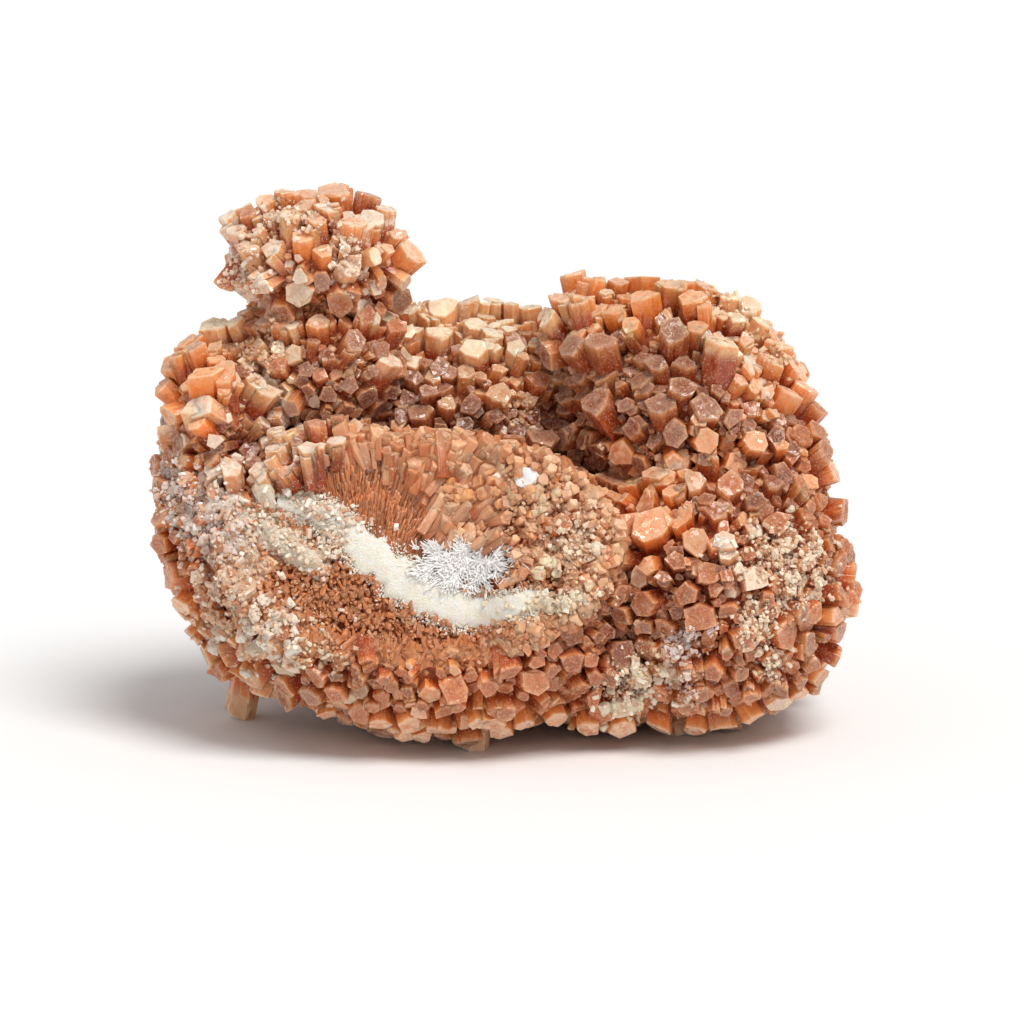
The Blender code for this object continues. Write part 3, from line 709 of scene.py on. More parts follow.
def seen_tips(rows):
    """The points, seen at each row's place on the leaning front plane, that stand so far off the lobes."""
    rows = np.array(rows)
    start = sight_start(rows[:, :1], rows[:, 1:2], SIGHT_BACK)
    best, best_gap = start.copy(), np.full(len(rows), np.inf)
    done = np.zeros(len(rows), bool)
    for step in range(SIGHT_STEPS):
        here = start + LEAN_IN * (SIGHT_STEP * step)
        gap, _ = growth_field(here)
        closer = ~done & (gap < best_gap)
        best[closer], best_gap[closer] = here[closer], gap[closer]
        done |= gap <= rows[:, 3]
    return best


def raised(axes, heights):
    """Axes turned upwards, more so the higher they stand, wherever they don't point down already."""
    share = RISE * ramp_of(heights, *RISE_HEIGHTS) * ramp_of(axes[:, 2], -0.3, 0.3)
    return unit(axes + share[:, None] * [0.0, 0.0, 1.0])


def measured_crystals(rng):
    rows = [(*row, OUTLINE_PROUD) for row in OUTLINE_CRYSTALS] + list(FRONT_CRYSTALS)
    tips = seen_tips(rows)
    axes = raised(jittered(growth_field(tips)[1], rng, LEAN_JITTER), tips[:, 2])
    _, _, width, proud = np.array(rows).T
    roll = rng.uniform(0.0, math.tau, len(rows))
    return {"tip": tips, "axis": axes, "width": width, "proud": proud, "roll": roll}


def crystal_table(root, axis, width, length, rng):
    """One row a crystal; how far each is turned round its axis is drawn here."""
    roll = rng.uniform(0.0, math.tau, len(width))
    return {"root": root, "axis": axis, "roll": roll, "width": width, "length": length}


def foot_crystals(rng):
    feet = np.array(FEET)
    axes = unit(np.column_stack([feet[:, :2] * FOOT_LEAN, -np.ones(len(feet))]))
    tips = np.column_stack([feet[:, :2], np.full(len(feet), FOOT_TIP)]) + CENTRE_SHIFT
    length = np.full(len(feet), FOOT_REACH)
    return crystal_table(tips - axes * FOOT_REACH, axes, feet[:, 2] * FOOT_STRETCH, length, rng)


def foot_neighbours(feet, rng):
    """Shorter crystals that crowd round each foot, so that it is one of a bunch."""
    which = np.repeat(np.arange(len(FEET)), FOOT_NEIGHBOURS)
    count = len(which)
    turn, width = rng.uniform(0.0, math.tau, count), rng.uniform(2.2, 4.8, count)
    away = np.column_stack([np.cos(turn), np.sin(turn), np.zeros(count)])
    reach = (feet["width"][which] + width) * rng.uniform(0.28, 0.62, count)
    axis = unit(feet["axis"][which] + away * rng.uniform(0.0, 0.4, (count, 1)))
    rise = rng.uniform(1.0, 7.5, count) + np.where(which == 0, 2.5, 0.0)
    root = feet["root"][which] + away * (reach * 0.5)[:, None]
    length = (FOOT_REACH - rise) / np.abs(axis[:, 2])
    return {"root": root, "axis": axis, "roll": turn * 5.0, "width": width, "length": length}


rng = np.random.default_rng(21)
measured = measured_crystals(rng)
feet = foot_crystals(rng)
neighbours = foot_neighbours(feet, rng)
print(len(measured["tip"]), "measured crystals and", len(feet["root"]), "that carry the specimen")

# %% Darts, from coarse to fine
CLASSES = (  # name, widths, heights, room between neighbours, darts
    ("large", (3.1, 5.0), (1.4, 4.6), 0.82, 22000),
    ("medium", (2.0, 3.4), (0.4, 3.4), 0.74, 30000),
    ("small", (1.3, 2.3), (-0.2, 2.0), 0.7, 50000),
    ("fine", (0.8, 1.3), (-0.3, 1.1), 0.75, 50000),
)
LIMB_FACING = 0.33
LIMB_PROUD = 0.9
CELL = 3.0
EDGE_WANDER = 5.0
EDGE_SWING = 0.16
SCAR_CLEARANCE = 1.5
FLOOR_CLEARANCE = 0.25


def skin_samples(count, rng):
    """Points spread evenly over the unpressed skin, from the sum of its triangles' areas."""
    corners = whole_skin[whole_faces]
    areas = np.linalg.norm(np.cross(corners[:, 1] - corners[:, 0], corners[:, 2] - corners[:, 0]), axis=1)
    chosen = np.searchsorted(areas.cumsum() / areas.sum(), rng.random(count))
    a, b = rng.random((2, count, 1))
    flip = (a + b) > 1.0
    a, b = np.where(flip, 1.0 - a, a), np.where(flip, 1.0 - b, b)
    base = corners[chosen]
    return base[:, 0] + (base[:, 1] - base[:, 0]) * a + (base[:, 2] - base[:, 0]) * b


def cell_of(place):
    return tuple(int(v // CELL) for v in place)


def crowd_of(points, widths):
    """Cells of (point, width), by place, so that a dart only meets its neighbours."""
    crowd = {}
    for point, width in zip(points, widths):
        crowd.setdefault(cell_of(point), []).append((*point, width))
    return crowd


def around(crowd, place):
    """What the crowd holds in the place's own cell and in those next to it."""
    for cell in itertools.product(*((c - 1, c, c + 1) for c in cell_of(place))):
        yield from crowd.get(cell, ())


def has_room(crowd, point, width, room):
    px, py, pz = point
    for x, y, z, other in around(crowd, point):
        reach = room * (width + other) / 2
        if (x - px) ** 2 + (y - py) ** 2 + (z - pz) ** 2 < reach * reach:
            return False
    return True


def thrown(crowd, widths, heights, room, darts, rng):
    """The darts of one class that found room, as a table of crystals."""
    spots = skin_samples(darts, rng)
    _, axes = growth_field(spots)
    flat, height, reach = scar_place(spots)
    _, coarse = finish_weights(spots, axes)
    width = rng.uniform(*widths, darts) * coarse
    proud = rng.uniform(*heights, darts) * np.sqrt(coarse)
    at_limb = np.abs(axes @ LEAN_IN) < LIMB_FACING
    proud = np.where(at_limb, np.minimum(proud, LIMB_PROUD + rng.uniform(-1.0, 1.0, darts)), proud)
    hollow = sunk(spots, axes)
    axes = raised(jittered(axes, rng, LEAN_JITTER), spots[:, 2])
    tips = spots + axes * proud[:, None]
    gap, _ = growth_field(tips)
    usable = (gap > proud * 0.5 - 0.2) & (tips[:, 2] > FLOOR_CLEARANCE)
    wander = np.array([noise.noise(Vector(p / EDGE_WANDER)) for p in spots]) * EDGE_SWING
    usable &= ~((height > scar_floor(flat) - SCAR_CLEARANCE) & (reach < 1.0 + wander))
    proud, tips = proud - hollow, tips - axes * hollow[:, None]
    kept = []
    for i in np.flatnonzero(usable):
        point = tuple(spots[i].tolist())
        if has_room(crowd, point, width[i], room):
            kept.append(i)
            crowd.setdefault(cell_of(point), []).append((*point, width[i]))
    roll = rng.uniform(0.0, math.tau, len(kept))
    return {"tip": tips[kept], "axis": axes[kept], "width": width[kept], "proud": proud[kept], "roll": roll}


def with_twins(table, rng, share):
    """Narrower neighbours beside some crystals, grown the same way and a little shorter."""
    parts = [table]
    for _ in range(2):
        some = rng.random(len(table["tip"])) < share
        axis, width = table["axis"][some], table["width"][some]
        side = unit(np.cross(axis, rng.normal(size=axis.shape)))
        step = width * rng.uniform(0.25, 0.5, len(width))
        drop = rng.uniform(0.1, 1.0, len(width))
        parts.append({
            "tip": table["tip"][some] + side * step[:, None] - axis * drop[:, None],
            "axis": jittered(axis, rng, 0.05),
            "width": width * rng.uniform(0.5, 0.85, len(width)),
            "proud": table["proud"][some] - drop,
            "roll": table["roll"][some] + rng.normal(0.0, 0.3, len(width)),
        })
    return {key: np.concatenate([part[key] for part in parts]) for key in table}


def rooted(table, depth=ROOT_DEPTH):
    length = np.maximum(table["proud"], 0.4) + np.minimum(depth, table["width"] * 1.4)
    return table | {"root": table["tip"] - table["axis"] * length[:, None], "length": length}


crowd = crowd_of(measured["tip"] - measured["axis"] * measured["proud"][:, None], measured["width"])
tables = {"measured": measured}
for name, widths, heights, room, darts in CLASSES:
    tables[name] = thrown(crowd, widths, heights, room, darts, rng)
    print(name, len(tables[name]["tip"]), "crystals")

# %% [markdown]
# ## Finish: twinned aragonite
#
# Aragonite is calcium carbonate. It is cloudy and lets light in, its faces are satin, and fine grooves
# run along the prism. Iron oxide stains it: deep orange to red-brown at the root, fading towards the
# tip, and the darker roots are also painted shade for the deep gaps between the crystals. Just under the cap the
# sides are painted lighter and more orange, as if lit through the tip. Stain and painted light go by the depth
# under the cap, in real millimetres, and the caps take the crystal's own tint. A painted highlight pales the
# upper edges, and a painted sheen pales faces seen at a slant.
# A face is never one flat plane: small patches of it tilt a little each way, which gives it its glints, and each
# patch is also painted a little lighter or darker; its pale specks are partly frost, partly painted glints. A
# Voronoi pattern picks the patches, and each one's random colour is its tilt. Light goes a few millimetres
# into the stone, the red most of all, so the shader scatters it under the surface. The index is about 1.6.

# %% Aragonite material
SPECK_MM = 0.35
CLOUD_MM = 1.6
GROOVE_MM = 0.28
GROOVE_LENGTH_MM = 5.0
STAIN_AND_SHADE_DEPTH_MM = 4.4
FACET_MM = 0.8
FACET_SQUAT = 0.45
KEY_STRIDE_MM = 311.0
# painted sheen at a slant
SHEEN_BLEND = 0.4
PAINTED_SHEEN_SHARE = 0.14
# painted light: the sides just under the cap are paled towards this bright orange
PAINTED_GLOW = linear("#F4A65A")
PAINTED_GLOW_SHARE = 0.45
# tint of the painted highlights on the edges and of the painted sheen at a slant
PAINTED_SHEEN = linear("#F8D2AE")
# pale specks: partly frost, partly painted glints
FROST_AND_GLINTS = linear("#FFDFC0")
LIME = linear("#F5E2CC")


def principled(name, inputs):
    material = bpy.data.materials.new(name)
    material.use_nodes = True
    tree = material.node_tree
    shader = tree.nodes["Principled BSDF"]
    for key, value in inputs.items():
        shader.inputs[key].default_value = value
    return material, tree, shader


def layered(tree, skin, tint, value, low, high, most=1.0, curve="LINEAR"):
    """The skin's colour with a tint mixed in: none where the value is low, and most of it where it is high."""
    share = {"Value": value, "From Min": low, "From Max": high, "To Max": most}
    share = add_node(tree, "ShaderNodeMapRange", share, 0, interpolation_type=curve)
    return add_node(tree, "ShaderNodeMix", {0: share, 6: skin, 7: tint}, 2, data_type="RGBA")


def aragonite(name, root_stain_and_shade, stain_and_shade_depth, groove_strength, gloss, cloudiness=0.5, painted_light=1.0):
    """The last argument scales the painted light: sides under the cap, upper edges, sheen at a slant and specks.
    """
    inputs = {"IOR": 1.6, "Subsurface Weight": cloudiness, "Subsurface Scale": 0.0014}
    material, tree, shader = principled(name, inputs | {"Subsurface Radius": (1.0, 0.7, 0.52)})
    smooth = "SMOOTHSTEP"

    def node(kind, inputs=None, take=0, **settings):
        return add_node(tree, kind, inputs, take, **settings)

    attribute = "ShaderNodeAttribute"
    own, girth = (node(attribute, take="Vector", attribute_name=kept) for kept in ("own", "girth"))
    kept_values = ("key", "along", "cap", "dust")
    key, along, cap, dust = (node(attribute, take="Fac", attribute_name=kept) for kept in kept_values)
    tints = ("cap_tint", "side_tint")
    cap_tint, side_tint = (node(attribute, take="Color", attribute_name=kept) for kept in tints)

    # places in millimetres, along the crystal's own axes, and far apart from one crystal to the next
    local = node("ShaderNodeVectorMath", {0: own, 1: girth}, operation="MULTIPLY")
    stride = node("ShaderNodeMath", {0: key, 1: KEY_STRIDE_MM}, operation="MULTIPLY")
    place = node("ShaderNodeVectorMath", {0: local, 1: stride}, operation="ADD")
    drawn = {0: place, 1: (1.0, 1.0, GROOVE_MM / GROOVE_LENGTH_MM)}
    drawn = node("ShaderNodeVectorMath", drawn, operation="MULTIPLY")
    groove = node("ShaderNodeTexNoise", {"Vector": drawn, "Scale": 1.0 / GROOVE_MM, "Detail": 2.0})
    cloud = {"Vector": place, "Scale": 1.0 / CLOUD_MM, "Detail": 2.0, "Roughness": 0.6}
    cloud = node("ShaderNodeTexNoise", cloud)
    speck = {"Vector": place, "Scale": 1.0 / SPECK_MM, "Detail": 1.0, "Roughness": 0.7}
    speck = node("ShaderNodeTexNoise", speck)

    # painted light just under the cap and stain towards the root, which is partly painted shade, both by the
    # depth under the cap; how deep they start differs from crystal to crystal
    length = node("ShaderNodeSeparateXYZ", {0: girth}, 2)
    below = node("ShaderNodeMath", {0: 1.0, 1: along}, operation="SUBTRACT")
    depth = node("ShaderNodeMath", {0: length, 1: below}, operation="MULTIPLY")
    wander = node("ShaderNodeMath", {0: groove, 1: 1.0, 2: -0.5}, operation="MULTIPLY_ADD")
    depth = node("ShaderNodeMath", {0: depth, 1: wander}, operation="ADD")
    eager = node("ShaderNodeMath", {0: key, 1: 1.0, 2: 0.55}, operation="MULTIPLY_ADD")
    depth = node("ShaderNodeMath", {0: depth, 1: eager}, operation="MULTIPLY")
    # painted light: the sides just under the cap are paled towards a bright orange, as if lit through the tip
    side = layered(tree, side_tint, PAINTED_GLOW, depth, 0.5 * stain_and_shade_depth, 0.0, PAINTED_GLOW_SHARE * painted_light, smooth)
    # stain towards the root, partly painted shade for the deep gaps between the crystals
    side = layered(tree, side, linear(root_stain_and_shade), depth, 0.25 * stain_and_shade_depth, stain_and_shade_depth, 1.0, smooth)
    streak = node("ShaderNodeMapRange", {"Value": groove, "From Min": 0.3, "From Max": 0.7})
    streak = node("ShaderNodeCombineColor", {0: streak, 1: streak, 2: streak})
    soft = {"data_type": "RGBA", "blend_type": "SOFT_LIGHT"}
    side = node("ShaderNodeMix", {0: 0.1, 6: side, 7: streak}, 2, **soft)

    # caps: cloudy and mottled with the tint of the sides; then a painted highlight pales part of the upper edge
    face = layered(tree, cap_tint, side_tint, cloud, 0.38, 0.68, 0.5, smooth)
    skin = node("ShaderNodeMix", {0: cap, 6: side, 7: face}, 2, data_type="RGBA")
    flat = node("ShaderNodeVectorMath", {0: own, 1: (2.0, 2.0, 0.0)}, operation="MULTIPLY")
    out = node("ShaderNodeVectorMath", {0: flat}, "Value", operation="LENGTH")
    edge = node("ShaderNodeMapRange", {"Value": out, "From Min": 0.5, "From Max": 1.0, "To Max": 0.7 * painted_light})
    high = node("ShaderNodeMapRange", {"Value": depth, "From Min": 1.0, "From Max": 0.0})
    edge = node("ShaderNodeMath", {0: edge, 1: high}, operation="MULTIPLY")
    edge = node("ShaderNodeMath", {0: edge, 1: cloud}, operation="MULTIPLY")
    # painted highlight along the upper edges
    skin = node("ShaderNodeMix", {0: edge, 6: skin, 7: PAINTED_SHEEN}, 2, data_type="RGBA")

    # painted sheen: faces seen at a slant are paled towards a light tint
    grazing_sheen = node("ShaderNodeLayerWeight", {"Blend": SHEEN_BLEND}, "Facing")
    skin = layered(tree, skin, PAINTED_SHEEN, grazing_sheen, 0.3, 1.0, PAINTED_SHEEN_SHARE * painted_light)

    # facets: patches painted a little lighter or darker, and tilted a little; pale specks are partly frost,
    # partly painted glints
    squat = node("ShaderNodeVectorMath", {0: place, 1: (1.0, 1.0, FACET_SQUAT)}, operation="MULTIPLY")
    facet = add_node(tree, "ShaderNodeTexVoronoi", {"Vector": squat, "Scale": 1.0 / FACET_MM})
    facet_light = node("ShaderNodeSeparateColor", {0: facet.outputs["Color"]})
    grey = node("ShaderNodeMath", {0: facet_light, 1: 0.5, 2: 0.25}, operation="MULTIPLY_ADD")
    grey = node("ShaderNodeCombineColor", {0: grey, 1: grey, 2: grey})
    skin = node("ShaderNodeMix", {0: 0.4, 6: skin, 7: grey}, 2, **soft)
    skin = layered(tree, skin, FROST_AND_GLINTS, speck, 0.54, 0.68, 0.32 * painted_light, smooth)

    # lime dust gathers where both noises are high
    cover = node("ShaderNodeMath", {0: cloud, 1: 0.65, 2: -0.66}, operation="MULTIPLY_ADD")
    cover = node("ShaderNodeMath", {0: speck, 1: 0.35, 2: cover}, operation="MULTIPLY_ADD")
    cover = node("ShaderNodeMath", {0: dust, 1: 0.42, 2: cover}, operation="MULTIPLY_ADD")
    cover = {"Value": cover, "From Min": 0.0, "From Max": 0.14, "To Max": 0.8}
    cover = node("ShaderNodeMapRange", cover, interpolation_type=smooth)
    skin = node("ShaderNodeMix", {0: cover, 6: skin, 7: LIME}, 2, data_type="RGBA")
    tree.links.new(skin, shader.inputs["Base Color"])

    rough = node("ShaderNodeMath", {0: facet_light, 1: 0.3, 2: gloss - 0.15}, operation="MULTIPLY_ADD")
    rough = node("ShaderNodeMath", {0: cover, 1: 0.4, 2: rough}, operation="MULTIPLY_ADD", use_clamp=True)
    tree.links.new(rough, shader.inputs["Roughness"])

    tilt = node("ShaderNodeVectorMath", {0: facet.outputs["Color"], 1: (0.5, 0.5, 0.5)}, operation="SUBTRACT")
    offset = node("ShaderNodeVectorMath", {0: squat, 1: facet.outputs["Position"]}, operation="SUBTRACT")
    relief = node("ShaderNodeVectorMath", {0: tilt, 1: offset}, "Value", operation="DOT_PRODUCT")
    sides_only = node("ShaderNodeMath", {0: 1.0, 1: cap}, operation="SUBTRACT")
    ribs = node("ShaderNodeMath", {0: groove, 1: sides_only}, operation="MULTIPLY")
    relief = node("ShaderNodeMath", {0: ribs, 1: 0.22 * groove_strength, 2: relief}, operation="MULTIPLY_ADD")
    relief = node("ShaderNodeMath", {0: speck, 1: 0.1, 2: relief}, operation="MULTIPLY_ADD")
    bump = node("ShaderNodeBump", {"Height": relief, "Strength": 0.6, "Distance": MM})
    tree.links.new(bump, shader.inputs["Normal"])
    return material


twinned = aragonite("twinned aragonite, iron stained", "#A84416", STAIN_AND_SHADE_DEPTH_MM, 0.4, 0.25)
fibrous = aragonite("fibrous aragonite, broken", "#B5602F", 9.0, 1.2, 0.45, 0.35, painted_light=0.25)
# the pale stain of the feet is lifted against the shade under the body, painted light that the rim blocks share
striated = aragonite("pale aragonite of the feet", "#F0843A", 10.0, 0.06, 0.3, painted_light=0.2)
unstained = aragonite("unstained aragonite needles", "#F2ECE8", 6.0, 0.4, 0.5, 0.0, painted_light=0.0)

# %% [markdown]
# ## Finish: stained root mass
#
# The mass under the crystals is a fine-grained mixture of aragonite and iron-stained clay. It is dull and dark,
# and since it shows only in the gaps, a mottled red-brown with grit is all it needs.

# %% Root mass material
def place_in_mm(tree):
    place = add_node(tree, "ShaderNodeTexCoord", take="Object")
    return add_node(tree, "ShaderNodeVectorMath", {0: place, "Scale": 1.0 / MM}, 0, operation="SCALE")


def mottled(name, inputs, base, patches, flecks, bump):
    """A skin with slow patches and fine flecks of other colours; the flecks also stand out.

    Patches and flecks are (size in mm, detail, roughness, low, high, most, colour), and bump is (strength,
    distance). Without a base colour the mesh's own tint is used.
    """
    material, tree, shader = principled(name, inputs)
    place, skin = place_in_mm(tree), base
    if base is None:
        skin = add_node(tree, "ShaderNodeAttribute", take="Color", attribute_name="tint")
    for size, detail, roughness, low, high, most, tint in (patches, flecks):
        texture = {"Vector": place, "Scale": 1.0 / size, "Detail": detail, "Roughness": roughness}
        texture = add_node(tree, "ShaderNodeTexNoise", texture, 0)
        skin = layered(tree, skin, tint, texture, low, high, most)
    tree.links.new(skin, shader.inputs["Base Color"])
    bump = {"Height": texture, "Strength": bump[0], "Distance": bump[1]}
    bump = add_node(tree, "ShaderNodeBump", bump, 0)
    tree.links.new(bump, shader.inputs["Normal"])
    return material


stained_clay = mottled(
    "iron-stained clay and aragonite",
    {"Roughness": 0.7, "IOR": 1.5, "Subsurface Weight": 0.3, "Subsurface Scale": 0.0015},
    linear("#8C3A1A"),
    (3.0, 4.0, 0.6, 0.35, 0.65, 1.0, linear("#C0622F")),
    (0.5, 3.0, 0.7, 0.55, 0.75, 0.6, linear("#CC8F66")),
    (0.6, 0.0005),
)
root_mass.data.materials.clear()
root_mass.data.materials.append(stained_clay)

# %% Grow the crystals
def grown_class(name, forms, seed, thickness=1.0, depth=ROOT_DEPTH, twins=0.0):
    """A piece from one class of crystals, of which a share has twins beside it."""
    table = with_twins(tables[name], rng, twins) if twins else tables[name]
    table = painted(rooted(table, depth), rng)
    return grown_piece(f"{name}_crystals", table, forms, twinned, seed, thickness)


pieces = [root_mass]
pieces.append(grown_class("measured", large_forms, 5, depth=6.0, twins=MEASURED_TWINS))
feet = painted(feet, rng)
# painted light: the feet are tinted nearly white, lighter than the stone, so that they look lit in the body's
# shade
feet["cap_tint"][:], feet["side_tint"][:] = linear("#FFEAD2"), linear("#FFCCA0")
pieces.append(grown_piece("foot_crystals", feet, large_forms, striated, 4))
pieces.append(grown_piece("foot_neighbours", painted(neighbours, rng), medium_forms, twinned, 17))
pieces.append(grown_class("large", medium_forms, 6, 1.06, depth=5.0, twins=TWIN_SHARE))
pieces.append(grown_class("medium", medium_forms, 7, 1.12, twins=TWIN_SHARE))
pieces.append(grown_class("small", small_forms, 8, 1.15))
pieces.append(grown_class("fine", small_forms, 9, 1.15))

# %% [markdown]
# ## The broken lobe: columns
#
# The break shows the inside of a lobe. Thin columns start at the seam, side by side like bristles, and widen
# until broken blocks take over. The same tree grows them, lying in the plane of the break this time: each column
# points away from the seam and from the point that the whole fan spreads from. They are thinnest at the
# seam, and none is quite level with the next, because the break tore some of them out.

# %% Columns of the scar
SEAM_PATH = np.array([
    (-23.5, 8.2), (-18.0, 7.2), (-13.2, 5.4), (-8.6, 0.6), (-2.8, -4.2),
    (3.4, -7.9), (9.0, -9.9), (14.5, -9.6), (22.0, -7.2),
])
SEAM_WIDTHS = (0.8, 1.5, 2.4, 3.1, 3.4, 3.3, 2.9, 2.1, 1.1)
FAN_HUB = np.array([-5.0, -9.0])
HUB_PULL = 0.65
COLUMN_WIDTH = (0.34, 0.95)
COLUMN_LENGTH = (1.1, 3.2)
COLUMN_REACH = (9.5, 15.0)
COLUMN_SLOPE = 0.25
COLUMN_DARTS = 90000
COLUMN_STRETCH = 3.0
COLUMN_ROOM = 0.25
FIBRE_RIGHT = 8.0
FIBRE_TURN = 2.5


def eased(values, steps):
    """The listed values as a smooth run of that many steps."""
    values = np.asarray(values, float)
    at = np.linspace(0, len(values) - 1, steps)
    straight = np.array([np.interp(at, range(len(values)), column) for column in np.atleast_2d(values.T)]).T
    soft = np.exp(-0.5 * (np.arange(-12, 13) / 5.0) ** 2)
    padded = np.pad(straight, ((12, 12), (0, 0)), mode="edge")
    return np.array([np.convolve(column, soft / soft.sum(), "valid") for column in padded.T]).T


SEAM_STEPS = 150
seam_line = eased(SEAM_PATH, SEAM_STEPS)
seam_half = eased(np.array(SEAM_WIDTHS)[:, None], SEAM_STEPS)[:, 0]


def off_seam(flat):
    """(nearest step of the seam, vector from it) for each place in the plane of the break."""
    gap = flat[:, None, :] - seam_line[None]
    near = (gap**2).sum(2).argmin(1)
    return near, flat - seam_line[near]


def in_oval(count, rng, margin):
    turn, reach = rng.uniform(0, math.tau, count), np.sqrt(rng.random(count)) * margin
    return np.column_stack([np.cos(turn), np.sin(turn)]) * reach[:, None] * SCAR_HALF


def patchy(flat, period, seed):
    """Slow noise over the plane of the break, about -1 to 1."""
    return np.array([noise.noise(Vector((*(p / period), seed))) for p in flat]) * 1.6


def lanes(flat, way, width, fits):
    """Indices of columns that lie side by side: one needs its width across the fan, and more along it."""
    crowd, kept = {}, []
    for i in np.flatnonzero(fits):
        (x, y), (a, b), wide = flat[i], way[i], width[i]
        for ox, oy, other in around(crowd, (x, y)):
            along = (ox - x) * a + (oy - y) * b
            beside = (ox - x) * b - (oy - y) * a
            if (along / COLUMN_STRETCH) ** 2 + beside**2 < (COLUMN_ROOM * (wide + other)) ** 2:
                break
        else:
            kept.append(i)
            crowd.setdefault(cell_of((x, y)), []).append((x, y, wide))
    return kept


def fibre_reach(flat):
    """How far from the seam the fine columns go: further towards the middle, and then soon less."""
    far = COLUMN_REACH[0] + COLUMN_SLOPE * (flat[:, 0] - SEAM_PATH[0, 0])
    far = np.clip(far, *COLUMN_REACH) - 2.2 * np.clip(flat[:, 0] - FIBRE_TURN, 0.0, None)
    return far + 1.6 * patchy(flat, 4.0, 3.0)


def leaning(way, out, rng, jitter):
    """Axes along a direction in the plane of the break that also lean out of it."""
    out = np.asarray(out, float).reshape(-1, 1)
    return jittered(unit(way[:, :1] * ACROSS + way[:, 1:] * SCAR_UP + out * SCAR_OUT), rng, jitter)


def scar_columns(rng):
    flat = in_oval(COLUMN_DARTS, rng, 1.02)
    near, away = off_seam(flat)
    distance = np.linalg.norm(away, axis=1)
    way = (1.0 - HUB_PULL) * unit(away) + HUB_PULL * unit(flat - FAN_HUB)
    way = unit(way + rng.normal(0.0, 0.06, flat.shape))
    edge = fibre_reach(flat)
    share = np.clip(distance / np.maximum(edge, 1.0), 0.0, 1.0)
    width = COLUMN_WIDTH[0] + (COLUMN_WIDTH[1] - COLUMN_WIDTH[0]) * share**2
    width *= rng.uniform(0.75, 1.35, len(flat))
    fits = (away[:, 1] > 0) & (distance > seam_half[near] * 0.92) & (distance < edge)
    fits &= (rim_reach(flat) < 0.97) & (flat[:, 0] < FIBRE_RIGHT)
    kept = lanes(flat, way, width, fits)
    flat, way, width, share = (v[kept] for v in (flat, way, width, share))
    length = rng.uniform(*COLUMN_LENGTH, len(kept)) * (0.7 + 0.5 * share)
    axis = leaning(way, rng.normal(0.1, 0.05, len(kept)) + 0.1 * share, rng, 0.03)
    level = rng.uniform(-0.25, 0.15, len(kept)) + 0.45 * patchy(flat, 5.0, 7.0) - 0.2 * width
    root = on_scar(flat - way * length[:, None] * 0.5, level)
    return crystal_table(root, axis, width, length, rng), share, flat


def blended(first, second, share):
    return linear(first) + (linear(second) - linear(first)) * share


def toned(table, base, spread, dust, rng):
    """Sides of the given colours and caps a little paler, each crystal lighter or darker by chance."""
    tone = 1.0 + rng.normal(0.0, spread, (len(base), 1)).clip(-0.55, 0.6)
    table["side_tint"] = base * tone
    table["cap_tint"] = (base * 0.7 + linear("#E9B48C") * 0.3) * tone
    table["dust"] = rng.uniform(0.0, dust, len(base))
    return table


columns, column_share, column_flat = scar_columns(rng)
column_base = blended("#B45728", "#D98C5E", column_share[:, None] ** 1.5)
column_base = column_base * (1.0 + 0.16 * patchy(column_flat, 2.5, 9.0)[:, None])
columns = toned(columns, column_base, 0.28, 0.15, rng)
pieces.append(grown_piece("scar_columns", columns, splinter_forms, fibrous, 10))

# %% [markdown]
# ## The broken lobe: rim, crumbs and needles
#
# At the rim the break cuts through the outer crystals and shows them in section, as blocks that end at
# the lobe's face. Under the seam the break is crumbly: short bits stand out of it at all angles. On the right
# there is a patch of white needles, a later growth, too thin to have been stained.

# %% Rim blocks, crumbs and needles
RIM_BLOCKS = 30
RIM_TURN = (25, 128)
RIM_WIDTH = (2.0, 3.8)
RIM_LENGTH = (3.6, 5.6)
RIM_LEVEL = (-2.2, -0.9)
RIM_STAND = (1.2, 3.0)
BLOCKS = 620
CRUMBS = 4600
NEEDLES = 3000
NEEDLE_PATCH = np.array([(7.2, -2.0), (8.4, 4.4)])


def rim_blocks(rng):
    turn = np.radians(np.linspace(*RIM_TURN, RIM_BLOCKS)) + rng.normal(0, 0.02, RIM_BLOCKS)
    edge = np.column_stack([np.cos(turn), np.sin(turn)]) * SCAR_HALF
    way = unit(edge - FAN_HUB)
    width, level = rng.uniform(*RIM_WIDTH, RIM_BLOCKS), rng.uniform(*RIM_LEVEL, RIM_BLOCKS)
    tips = on_scar(edge, level)
    axis = leaning(way, rng.uniform(0.25, 0.8, RIM_BLOCKS), rng, 0.08)
    stand = rng.uniform(*RIM_STAND, RIM_BLOCKS)
    for _ in range(40):
        gap, _ = growth_field(tips)
        tips += axis * np.where(gap < stand, 0.25, 0.0)[:, None]
    length = rng.uniform(*RIM_LENGTH, RIM_BLOCKS)
    return crystal_table(tips - axis * length[:, None], axis, width, length, rng)


def in_needles(flat, margin):
    centre, half = NEEDLE_PATCH
    return np.linalg.norm((flat - centre) / (half * margin), axis=1) < 1.0


